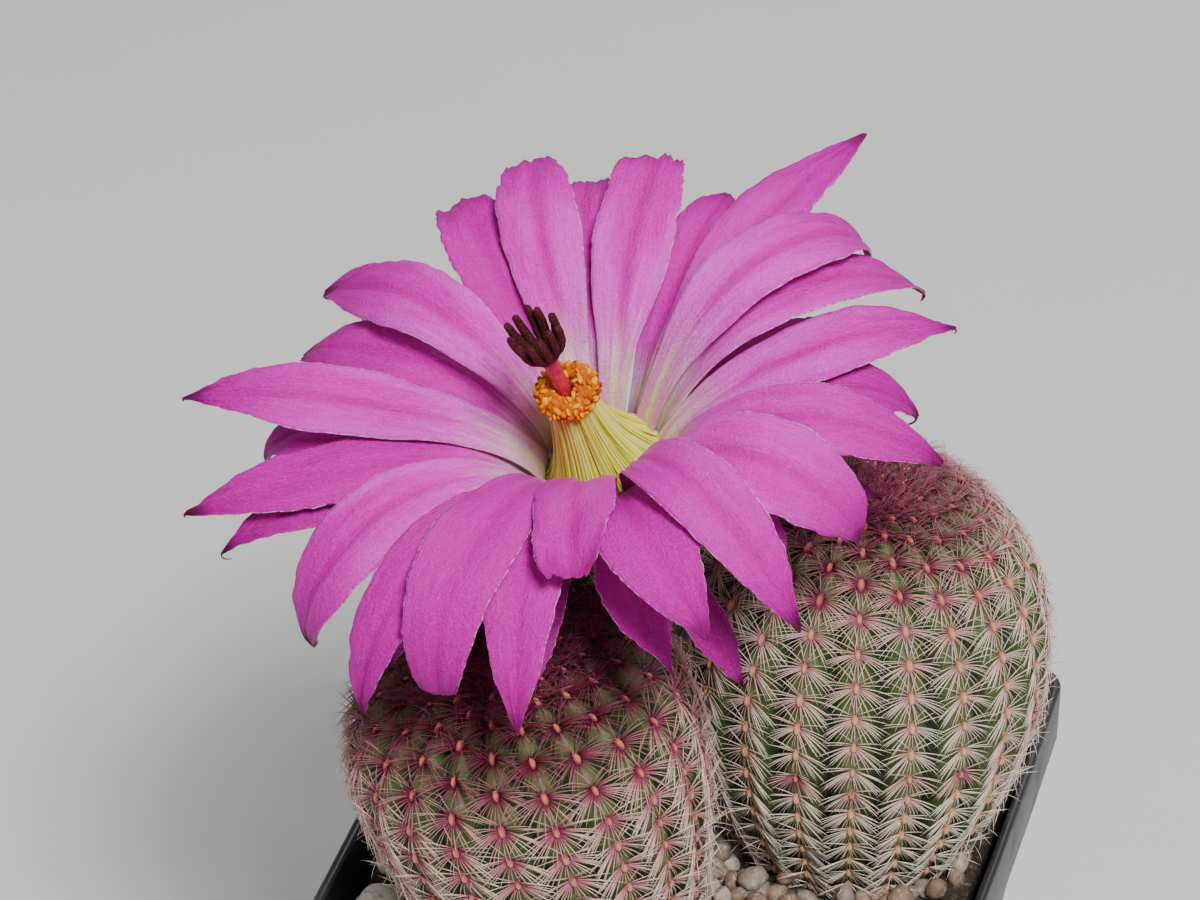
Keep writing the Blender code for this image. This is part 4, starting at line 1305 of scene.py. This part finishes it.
# %% A petal's skin
PETAL_ROWS = 54
PETAL_COLUMNS = 18
PETAL_THICK = 0.30 * MM
HOOK_ROWS = 8
HOOK_HALF = 0.45 * MM
WIDTH_WOBBLE = 0.07
EDGE_NOTCH = 0.30 * MM
FOLD_DEPTH = 0.26
ROLL_DEPTH = 0.10
KEEL_DEPTH = 0.30 * MM
SWELL_HEIGHT = 0.55 * MM
PLEAT_HEIGHT = 0.060 * MM
RUFFLE_HEIGHT = 0.45 * MM


def wobble(where, seed):
    return noise.noise(Vector((where, seed * 7.3, 0.5)))


def petal_surface(petal, seed):
    """Middle surface of a petal: a grid of (point, up) from foot to tip, with hook rows at the end."""
    stations = midrib(petal)
    columns = [2.0 * column / PETAL_COLUMNS - 1.0 for column in range(PETAL_COLUMNS + 1)]
    grid = []
    for row in range(PETAL_ROWS + 1):
        even = row / PETAL_ROWS
        share = even + 0.10 * math.sin(math.pi * even) * even
        full = smooth(share * 3.0)
        line = []
        for across in columns:
            edge = abs(across)
            torn = 0.5 + 0.5 * wobble(across * 5.0 + 9.0, seed) + 0.35 * wobble(across * 17.0, seed + 3)
            nick = petal.ragged * 0.085 * max(torn, 0.0) * smooth((share - 0.72) / 0.28)
            here = share - nick - 0.05 * petal.tip * across ** 2 * smooth((share - 0.8) / 0.2)
            middle, side, up, _ = station(stations, here)
            half = petal_width(petal, here) / 2
            flank = 20.0 * (across > 0)
            half *= 1.0 + WIDTH_WOBBLE * wobble(share * 6.0 + flank, seed + 1) * full
            notch = EDGE_NOTCH * wobble(share * 34.0 + flank, seed + 7) * smooth((share - 0.35) / 0.4)
            half += notch * (share < 0.97)
            cup = PETAL_CUP * (1.0 - share) * edge ** 1.5 * half
            leaning = 1.0 + 0.6 * across * (1.0 if seed % 2 else -1.0)
            fold = petal.fold * leaning * FOLD_DEPTH * half * edge ** 1.4 * smooth((share - 0.55) / 0.45)
            roll = -ROLL_DEPTH * half * edge ** 3 * smooth(share * 2.0) * (1.0 - smooth((share - 0.6) / 0.4))
            keel = -KEEL_DEPTH * math.exp(-(across / 0.15) ** 2) * full * smooth((1.02 - share) * 6.0)
            swell = SWELL_HEIGHT * noise.noise(Vector((across * 1.6, share * 5.0, seed * 3.7))) * full
            crease = math.cos(across * 22.0 + 3.0 * wobble(share * 3.0, seed + 2))
            pleat = PLEAT_HEIGHT * crease * smooth(share * 4.0)
            ruffle = RUFFLE_HEIGHT * edge ** 3 * wobble(share * 9.0 + flank, seed + 5) * smooth(share * 2.0)
            rise = cup + fold + roll + keel + swell + pleat + ruffle
            line.append((middle + side * across * half + up * rise, up, share, across))
        grid.append(line)
    point, side, _, heading = station(stations, 1.0)
    half = min(petal_width(petal, 1.0) / 2, HOOK_HALF)
    curl = Matrix.Rotation(math.radians(9.0 + 6.0 * petal.dark), 3, side)
    for row in range(1, HOOK_ROWS + 1 if petal.hook else 1):
        heading = (curl @ heading).normalized()
        point = point + heading * petal.hook * MM / HOOK_ROWS
        up = heading.cross(side).normalized()
        reach = half * (1.02 - row / HOOK_ROWS) ** 0.7
        grid.append([(point + side * across * reach, up, 1.0, across) for across in columns])
    return grid


def build_petal(name, petal, seed, finish):
    """Both skins of a petal, joined round the rim, with the values that its finish reads."""
    grid = petal_surface(petal, seed)
    columns = PETAL_COLUMNS + 1
    points, uvs, under = [], [], []
    for face in (1.0, -1.0):
        for line in grid:
            for point, up, share, across in line:
                thin = PETAL_THICK / 2 * (1.0 - 0.65 * abs(across) ** 3) * (1.0 - 0.5 * share ** 4)
                points.append(flower @ (point + up * thin * face))
                uvs.append((0.5 + across / 2, share))
                under.append(0.5 - face / 2)
    faces = []
    start = len(grid) * columns
    for row in range(len(grid) - 1):
        for column in range(PETAL_COLUMNS):
            a = row * columns + column
            faces.append((a, a + columns, a + columns + 1, a + 1))
            faces.append((start + a, start + a + 1, start + a + columns + 1, start + a + columns))
        left, right = row * columns, row * columns + PETAL_COLUMNS
        faces.append((left, start + left, start + left + columns, left + columns))
        faces.append((right, right + columns, start + right + columns, start + right))
    top = (len(grid) - 1) * columns
    for column in range(PETAL_COLUMNS):
        faces.append((column, column + 1, start + column + 1, start + column))
        faces.append((top + column, start + top + column, start + top + column + 1, top + column + 1))
    made = new_object(name, points, faces, finish)
    layer = made.data.uv_layers.new(name="petal")
    for loop in made.data.loops:
        layer.data[loop.index].uv = uvs[loop.vertex_index]
    point_value(made, "under", under)
    # A petal's tone mixes a random share, a share by its whorl, and painted light and shade: petals near
    # bearing 85 degrees get a lower tone, so more painted sheen, and petals turned away get a higher tone, so
    # more painted shade.
    painted_shade_by_bearing = 0.5 - 0.5 * math.cos(math.radians(petal.bearing - 85.0))
    tone = 0.35 * random.Random(seed).random() + 0.30 * painted_shade_by_bearing + 0.17 * min(max(petal.whorl, 0.0), 2.0)
    point_value(made, "tone", [tone] * len(points))
    point_value(made, "dark", [petal.dark] * len(points))
    return face_outwards(made, 1e-9)


# %% Petal finish
def petal_finish(name, stops, stripe_colour, tip_colour):
    """Satin petal skin: colour along the length, a darker midrib, pale rim, dark tip and fine veins, with
    painted sheen, painted shade and painted glints.
    """
    made, tree, shader = new_finish(name, 0.36, Specular_IOR_Level=0.14, Subsurface_Weight=0.15,
                                    Subsurface_Radius=(1.0, 0.25, 0.8), Subsurface_Scale=0.6 * MM)
    chart = add(tree, "ShaderNodeUVMap", uv_map="petal").outputs[0]
    axes = add(tree, "ShaderNodeSeparateXYZ", {0: chart}).outputs
    tone = stored(tree, "tone")
    edge = times(tree, calc(tree, "ABSOLUTE", calc(tree, "SUBTRACT", axes[0], 0.5)), 2.0)
    spread = add(tree, "ShaderNodeCombineXYZ", {0: times(tree, axes[0], 9.0),
                                                1: times(tree, axes[1], 1.6),
                                                2: times(tree, tone, 40.0)}).outputs[0]
    streaks = grain(tree, spread, 2.2, 4.0, 0.6)
    threads = grain(tree, spread, 9.0, 3.0, 0.6)
    where = stray(tree, axes[1], streaks, 0.34)
    # A higher tone moves the petal towards the darker end of the ramp: partly the petal's own tone, partly
    # painted shade.
    where = plus(tree, where, times(tree, calc(tree, "SUBTRACT", tone, 0.4), 0.20))
    colour = ramp(tree, where, stops)
    middle = ease(tree, stray(tree, edge, streaks, 0.25), 0.02, 0.26, 1.0, 0.0)
    length = times(tree, ease(tree, axes[1], 0.22, 0.55), ease(tree, axes[1], 0.99, 0.80, 0.4, 1.0))
    colour = blend(tree, times(tree, middle, length, 0.72), colour, stripe_colour)
    colour = blend(tree, ease(tree, threads, 0.50, 0.72, 0.0, 0.22), colour, stripe_colour)
    colour = blend(tree, ease(tree, threads, 0.46, 0.30, 0.0, 0.20), colour, (0.95, 0.10, 0.78))
    # Painted sheen: pale lilac patches on the flanks stand in for the satin's highlights, strongest on petals
    # of low tone.
    sheen_noise = grain(tree, vector(tree, "MULTIPLY", spread, (0.22, 1.1, 1.0)), 1.6, 3.0, 0.5)
    pale_part = times(tree, ease(tree, edge, 0.02, 0.45), ease(tree, axes[1], 0.90, 0.50))
    painted_sheen = times(tree, ease(tree, sheen_noise, 0.32, 0.62), pale_part,
                   ease(tree, tone, 0.15, 0.75, 0.60, 0.10))
    colour = blend(tree, painted_sheen, colour, (0.95, 0.13, 0.82))
    # A deeper magenta past the claw on petals of high tone: partly each petal's own tone, partly painted
    # shade on petals turned from the light.
    deep_tone_and_shade = times(tree, ease(tree, tone, 0.15, 0.85, 0.0, 0.85), ease(tree, axes[1], 0.16, 0.50))
    colour = blend(tree, deep_tone_and_shade, colour, (0.58, 0.0, 0.38))
    # Painted glints and painted dark specks: fine cells lighten or darken the colour to stand in for the
    # glitter of the satin.
    painted_glints_and_specks = grain(tree, place(tree), 4300.0, 2.0, 0.5)
    colour = blend(tree, ease(tree, painted_glints_and_specks, 0.52, 0.72, 0.0, 0.16), colour, (1.0, 0.24, 0.90))
    colour = blend(tree, ease(tree, painted_glints_and_specks, 0.48, 0.30, 0.0, 0.30), colour, stripe_colour)
    fringe = grain(tree, place(tree), 1500.0, 3.0, 0.6)
    rim_light = times(tree, ease(tree, edge, 0.955, 1.0), ease(tree, fringe, 0.42, 0.60, 0.0, 0.75))
    colour = blend(tree, rim_light, colour, (0.92, 0.55, 0.80))
    end = times(tree, ease(tree, axes[1], 0.93, 1.0), stored(tree, "dark"))
    colour = blend(tree, end, colour, tip_colour)
    colour = blend(tree, times(tree, stored(tree, "under"), 0.35), colour, (0.66, 0.10, 0.48))
    paint(tree, shader, colour)
    cells = grain(tree, place(tree), 2900.0, 3.0, 0.6)
    height = plus(tree, times(tree, cells, 0.6), times(tree, threads, 0.6))
    relief(tree, shader, height, 0.42 * MM, 1.0)
    return made


magenta = petal_finish("satin_magenta_petal",
                       [(0.0, (0.93, 0.82, 0.42)), (0.07, (0.95, 0.84, 0.56)), (0.14, (0.96, 0.72, 0.68)),
                        (0.22, (0.94, 0.36, 0.70)), (0.32, (0.90, 0.055, 0.66)), (0.47, (0.80, 0.0, 0.55)),
                        (0.90, (0.66, 0.0, 0.43)), (1.0, (0.42, 0.0, 0.24))],
                       (0.58, 0.0, 0.34), (0.09, 0.012, 0.03))
dusky = petal_finish("dusky_outer_petal",
                     [(0.0, (0.28, 0.30, 0.10)), (0.25, (0.36, 0.16, 0.16)), (0.55, (0.46, 0.06, 0.28)),
                      (0.85, (0.36, 0.03, 0.18)), (1.0, (0.14, 0.02, 0.05))],
                     (0.20, 0.05, 0.06), (0.05, 0.012, 0.016))
print("petal finishes:", magenta.name, dusky.name)

# %% Petals and outer petals
count = 0
for index, petal in enumerate(PETALS):
    piece = build_petal(f"bloom_petal_{index + 1:02d}", petal, index + 1, magenta)
    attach(piece, "root")
    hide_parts(f"petal_{index + 1:02d}")
    count += triangles(piece)
for index, petal in enumerate(SEPALS):
    piece = build_petal(f"bloom_sepal_{index + 1}", petal, index + 51, dusky)
    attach(piece, "root")
    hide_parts(f"sepal_{index + 1}")
    count += triangles(piece)
print(len(PETALS), "petals and", len(SEPALS), "sepals,", count, "triangles")

# %% [markdown]
# ## Filaments
#
# Over two hundred pale yellow threads stand so close that they look like a pleated skirt, and lean
# together to the front. Their paths are computed as loose edges, and a node tree turns each path into a
# thread of its own thickness. A thin wall inside keeps the skirt from being seen through.

# %% The skirt
stamen_axis = Vector(STAMEN_LEAN).normalized()
stamen_side, stamen_other = square_to(stamen_axis)
throat = flower.translation
anther_centre = throat + stamen_axis * STAMEN_LENGTH
SKIRT_FOOT = 6.0 * MM
SKIRT_TILT = 2.6 * MM
SKIRT_TILT_BEARING = 40.0


def skirt_point(share, angle, inset=0.0):
    """A point of the skirt: its foot follows the throat's wall, higher at the back, and its top is a ring."""
    out = spoke(angle, stamen_side, stamen_other)
    local = flower.to_3x3().inverted() @ out
    bearing = math.atan2(local.y, local.x)
    high = 0.5 + 0.5 * math.cos(bearing - math.radians(SKIRT_TILT_BEARING))
    foot_radius = SKIRT_FOOT + 0.75 * SKIRT_TILT * high - inset
    foot = flower @ polar(foot_radius, bearing, SKIRT_TILT * high - 0.8 * MM)
    top = anther_centre + out * (ANTHER_RING - inset) - stamen_axis * 0.4 * MM
    first = foot + flower_axis * 2.4 * MM - out * 1.6 * MM
    second = top - stamen_axis * 8.0 * MM + out * 0.5 * MM
    return bezier_point(foot, first, second, top, share)


pick = random.Random(5)
points, edges, tints = [], [], []
THREADS = 240
THREAD_STEPS = 12
for thread in range(THREADS):
    angle = math.tau * (thread + pick.uniform(-0.3, 0.3)) / THREADS
    swing = pick.uniform(-0.10, 0.10)
    inset = pick.uniform(-0.18, 0.30) * MM
    reach = pick.uniform(0.94, 1.04)
    tint = pick.random()
    for step in range(THREAD_STEPS + 1):
        share = step / THREAD_STEPS * reach
        points.append(skirt_point(share, angle + swing * share, inset))
        tints.append(tint)
        if step:
            edges.append((len(points) - 2, len(points) - 1))
paths = new_object("thread_paths", points, [], edges=edges)
point_value(paths, "tint", tints)

# %% A tree that spins threads along paths
tree, inputs = new_tree("spin_threads", [("Radius", "Float"), ("Sides", "Int")])
curves = add(tree, "GeometryNodeMeshToCurve", {"Mesh": inputs["Base"]}).outputs[0]
round_ = add(tree, "GeometryNodeCurvePrimitiveCircle", {"Resolution": inputs["Sides"],
                                                        "Radius": inputs["Radius"]}).outputs[0]
threads = add(tree, "GeometryNodeCurveToMesh", {"Curve": curves, "Profile Curve": round_,
                                                "Fill Caps": True}).outputs[0]
close_tree(tree, inputs, threads)

filament_finish, tree, shader = new_finish("pale_yellow_thread", 0.42, Subsurface_Weight=0.15,
                                           Subsurface_Scale=0.5 * MM)
tint = stored(tree, "tint")
along = grain(tree, place(tree), 500.0, 3.0)
mixed = stray(tree, tint, along, 0.4)
colour = ramp(tree, mixed, [(0.0, (0.42, 0.44, 0.01)), (0.22, (0.78, 0.76, 0.05)), (0.6, (0.90, 0.88, 0.12)),
                            (1.0, (0.95, 0.93, 0.32))])
paint(tree, shader, colour)
relief(tree, shader, grain(tree, place(tree), 4000.0, 2.0), 0.04 * MM, 0.5)
threads = grow("filament_threads", paths, bpy.data.node_groups["spin_threads"],
               {"Radius": 0.13 * MM, "Sides": 5}, filament_finish)
drop(paths)

# %% The wall inside the skirt
WALL_SIDES = 72
loops = []
for inset, steps in ((0.35 * MM, range(0, 13)), (0.75 * MM, range(12, -1, -1))):
    for step in steps:
        share = 0.97 * step / 12
        loops.append([skirt_point(share, angle, inset + 0.06 * MM * (corner % 2))
                      for corner, angle in enumerate(full_turn(WALL_SIDES))])
points, faces = skin_loops(loops, closed=True)
skirt_wall = new_object("filament_wall", points, faces, filament_finish)
point_value(skirt_wall, "tint", [0.30] * len(points))
face_outwards(skirt_wall)
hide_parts("filaments")
for piece in (threads, skirt_wall):
    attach(piece, "root")

# %% [markdown]
# ## Anthers
#
# The threads end in orange anthers, each a grain about a millimetre long with a groove, packed in a
# ring round the style. A node tree scatters them over a ring-shaped base with a fixed seed.

# %% One grain and the ring it sits on
def groove(angle):
    return 1.0 - 0.35 * (abs(math.sin(angle)) > 0.9)


def anther_grain(name):
    loops = []
    for share in (0.12, 0.36, 0.64, 0.88):
        swell = math.sin(math.pi * share) ** 0.6
        loops.append([Vector((0.30 * swell * math.cos(a), 0.24 * swell * groove(a) * math.sin(a),
                              share - 0.5)) for a in full_turn(8)])
    points, faces = skin_loops(loops)
    return face_outwards(new_object(name, points, faces))


anther_grain_object = anther_grain("one_anther")
loops = []
for angle in full_turn(40):
    out = spoke(angle, stamen_side, stamen_other)
    hub = anther_centre + out * ANTHER_RING
    loops.append([hub + 0.86 * ANTHER_TUBE * spoke(t, out, stamen_axis) for t in full_turn(12)])
points, faces = skin_loops(loops, closed=True)
ring = face_outwards(new_object("anther_core", points, faces))

tree, inputs = new_tree("scatter_grains", [("Grain", "Object"), ("Length", "Float"),
                                           ("Least distance", "Float"), ("Seed", "Int")])
spread = scatter(tree, inputs, 9e6)
tinted = with_tint(tree, spread[0], chance(tree, 0.0, 1.0, 8))
wild = chance(tree, (-0.9, -0.9, -0.9), (0.9, 0.9, 0.9), 9, "FLOAT_VECTOR")
roll = chance(tree, (-1.0, -1.0, -1.0), (1.0, 1.0, 1.0), 10, "FLOAT_VECTOR")
pose = turn_to(tree, vector(tree, "ADD", spread["Normal"], wild), roll, "X")
size = times(tree, inputs["Length"], chance(tree, 0.75, 1.2, 12))
close_tree(tree, inputs, copies_on(tree, tinted, object_shape(tree, inputs["Grain"]), pose, size))
grain_tree = tree

anther_finish, tree, shader = new_finish("orange_pollen", 0.85, Specular_IOR_Level=0.15)
tint = stored(tree, "tint")
dusting = grain(tree, place(tree), 6000.0, 3.0, 0.7)
mixed = stray(tree, tint, dusting, 0.7)
colour = ramp(tree, mixed, [(0.0, (0.34, 0.050, 0.0)), (0.35, (0.70, 0.17, 0.0)), (0.7, (0.85, 0.30, 0.0)),
                            (1.0, (0.92, 0.48, 0.01))])
paint(tree, shader, colour)
relief(tree, shader, dusting, 0.08 * MM)
anthers = grow("anther_grains", ring, grain_tree, {"Grain": anther_grain_object, "Length": 1.25 * MM,
                                                   "Least distance": 0.56 * MM, "Seed": 4}, anther_finish)
drop(anther_grain_object)
ring.data.materials.append(anther_finish)
point_value(ring, "tint", [0.15] * len(ring.data.vertices))
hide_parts("anther_ring")
for piece in (anthers, ring):
    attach(piece, "root")

# %% [markdown]
# ## Style and stigma
#
# The style is a crimson column that passes through the ring and bends a little. It ends in the stigma,
# a half-open hand of dark velvety lobes. Each lobe is a tapering finger with a round end, swept along
# its own bent path from the common foot.

# %% Style
style_axis = Vector(STYLE_LEAN).normalized()
bend = anther_centre
style_start = throat + stamen_axis * -0.3 * MM
style_end = anther_centre + style_axis * (STYLE_REACH + 0.6 * MM)
STYLE_STEPS = 30
style_path = bezier(style_start, style_start.lerp(bend, 0.6), bend, style_end, STYLE_STEPS)
style_finish, tree, shader = new_finish("crimson_style", 0.36, Subsurface_Weight=0.15,
                                        Subsurface_Scale=0.5 * MM)
where = place(tree)
shade = grain(tree, where, 700.0, 4.0)
paint(tree, shader, ramp(tree, shade, [(0.25, (0.36, 0.008, 0.03)), (0.55, (0.56, 0.02, 0.075)),
                                  (0.8, (0.68, 0.09, 0.15))]))
relief(tree, shader, grain(tree, where, 2600.0, 3.0), 0.06 * MM, 0.6)
radii = [STYLE_RADIUS * (0.86 + 0.10 * smooth((step - 22) / 8)) for step in range(STYLE_STEPS + 1)]
points, faces = skin_loops(swept_loops(style_path, radii, 28, lambda row, a: 1.0 + 0.035 * math.cos(7 * a)))
style = face_outwards(new_object("crimson_column", points, faces, style_finish))
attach(style, "root")
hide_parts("style")

# %% Stigma
stigma_side, stigma_other = square_to(style_axis)
stigma_foot = anther_centre + style_axis * (STYLE_REACH - 0.2 * MM)
stigma_finish, tree, shader = new_finish("dark_velvet_stigma", 0.8, Specular_IOR_Level=0.2)
pile = grain(tree, place(tree), 5200.0, 4.0, 0.7)
paint(tree, shader, ramp(tree, pile, [(0.3, (0.026, 0.003, 0.004)), (0.55, (0.080, 0.012, 0.014)),
                                 (0.72, (0.30, 0.09, 0.055))]))
relief(tree, shader, pile, 0.14 * MM)
pick = random.Random(21)
LOBE_STEPS = 16
LOBE_SIDES = 12
fingers = []
for lobe in range(STIGMA_LOBES):
    angle = math.tau * (lobe + pick.uniform(-0.2, 0.2)) / STIGMA_LOBES
    out = spoke(angle, stigma_side, stigma_other)
    length = STIGMA_LENGTH * pick.uniform(0.82, 1.0)
    spread = STIGMA_RADIUS * pick.uniform(0.80, 0.95)
    path = bezier(stigma_foot + out * 0.35 * MM,
                  stigma_foot + out * spread * 0.75 + style_axis * length * 0.18,
                  stigma_foot + out * spread * 0.92 + style_axis * length * 0.6,
                  stigma_foot + out * spread * (0.92 + 0.1 * pick.random()) + style_axis * length,
                  LOBE_STEPS)
    radii = []
    for step in range(LOBE_STEPS + 1):
        share = step / LOBE_STEPS
        girth = 0.44 + 0.10 * smooth(share * 2.0) - 0.10 * smooth(share * 2.0 - 1.0)
        radii.append(girth * MM * math.sqrt(max(1.0 - max((share - 0.9) / 0.1, 0.0) ** 2, 0.02)))
    lumps = [pick.uniform(0.93, 1.08) for _ in range((LOBE_STEPS + 1) * LOBE_SIDES)]
    loops = swept_loops(path, radii, LOBE_SIDES, lambda row, a:
                        lumps[row * LOBE_SIDES + int(a / math.tau * LOBE_SIDES + 0.5) % LOBE_SIDES])
    fingers.append(skin_loops(loops))
stigma = face_outwards(new_object("stigma_hand", *joined(fingers), stigma_finish))
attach(stigma, "root")
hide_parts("stigma")
drop(spine, pad)
print("stigma", triangles(stigma), "triangles")

# %% [markdown]
# ## Floor, light and camera
#
# A pale floor, a soft key light high on the right, a larger and weaker fill on the left and a light
# from behind show the satin of the petals. The camera looks down on the flower.

# %% Floor
FLOOR_REACH = 12.0
floor = new_object("floor", [(x * FLOOR_REACH, y * FLOOR_REACH, 0.0)
                             for x, y in ((-1, -1), (1, -1), (1, 1), (-1, 1))], [(0, 1, 2, 3)])
floor_finish, tree, shader = new_finish("pale_floor", 0.8)
haze = grain(tree, place(tree), 30.0, 3.0)
paint(tree, shader, blend(tree, haze, (0.70, 0.70, 0.70), (0.73, 0.73, 0.72)))
floor.data.materials.append(floor_finish)


# %% Lights
# Name, azimuth and elevation in degrees, distance and size in metres, power in watts.
LIGHTS = (("key", 34.0, 54.0, 0.9, 0.22, 11.0), ("fill", -50.0, 35.0, 1.0, 0.7, 1.0),
          ("back", 165.0, 45.0, 1.0, 0.5, 3.0))
AIM_HEIGHT = 0.11
WORLD_LIGHT = 0.21


def soft_light(name, azimuth, elevation, distance, size, power):
    """A square area light aimed at the flower; azimuth 0 is in front and 90 on the right."""
    lamp = bpy.data.lights.new(name, "AREA")
    lamp.size = size
    lamp.energy = power
    made = put_in_scene(name, lamp)
    a, e = math.radians(azimuth), math.radians(elevation)
    away = Vector((math.sin(a) * math.cos(e), -math.cos(a) * math.cos(e), math.sin(e)))
    made.location = Vector((0.0, 0.0, AIM_HEIGHT)) + away * distance
    made.rotation_mode = "QUATERNION"
    made.rotation_quaternion = (-away).to_track_quat("-Z", "Y")


for light in LIGHTS:
    soft_light(*light)
world = bpy.data.worlds.new("studio")
world.use_nodes = True
world.node_tree.nodes["Background"].inputs[0].default_value = (1.0, 1.0, 1.0, 1.0)
world.node_tree.nodes["Background"].inputs[1].default_value = WORLD_LIGHT
bpy.context.scene.world = world

# %% Camera
CAMERA_AZIMUTH = 17.5
CAMERA_ELEVATION = 36.0
CAMERA_PLACE = (0.1147, -0.4022, 0.428)
CAMERA_LENS = 134.4
camera = put_in_scene("camera", bpy.data.cameras.new("camera"))
camera.data.lens = CAMERA_LENS
camera.data.sensor_width = 36.0
azimuth, elevation = math.radians(CAMERA_AZIMUTH), math.radians(CAMERA_ELEVATION)
camera.location = CAMERA_PLACE
look = Vector((-math.sin(azimuth) * math.cos(elevation), math.cos(azimuth) * math.cos(elevation),
               -math.sin(elevation)))
camera.rotation_mode = "QUATERNION"
camera.rotation_quaternion = look.to_track_quat("-Z", "Y")
bpy.context.scene.camera = camera
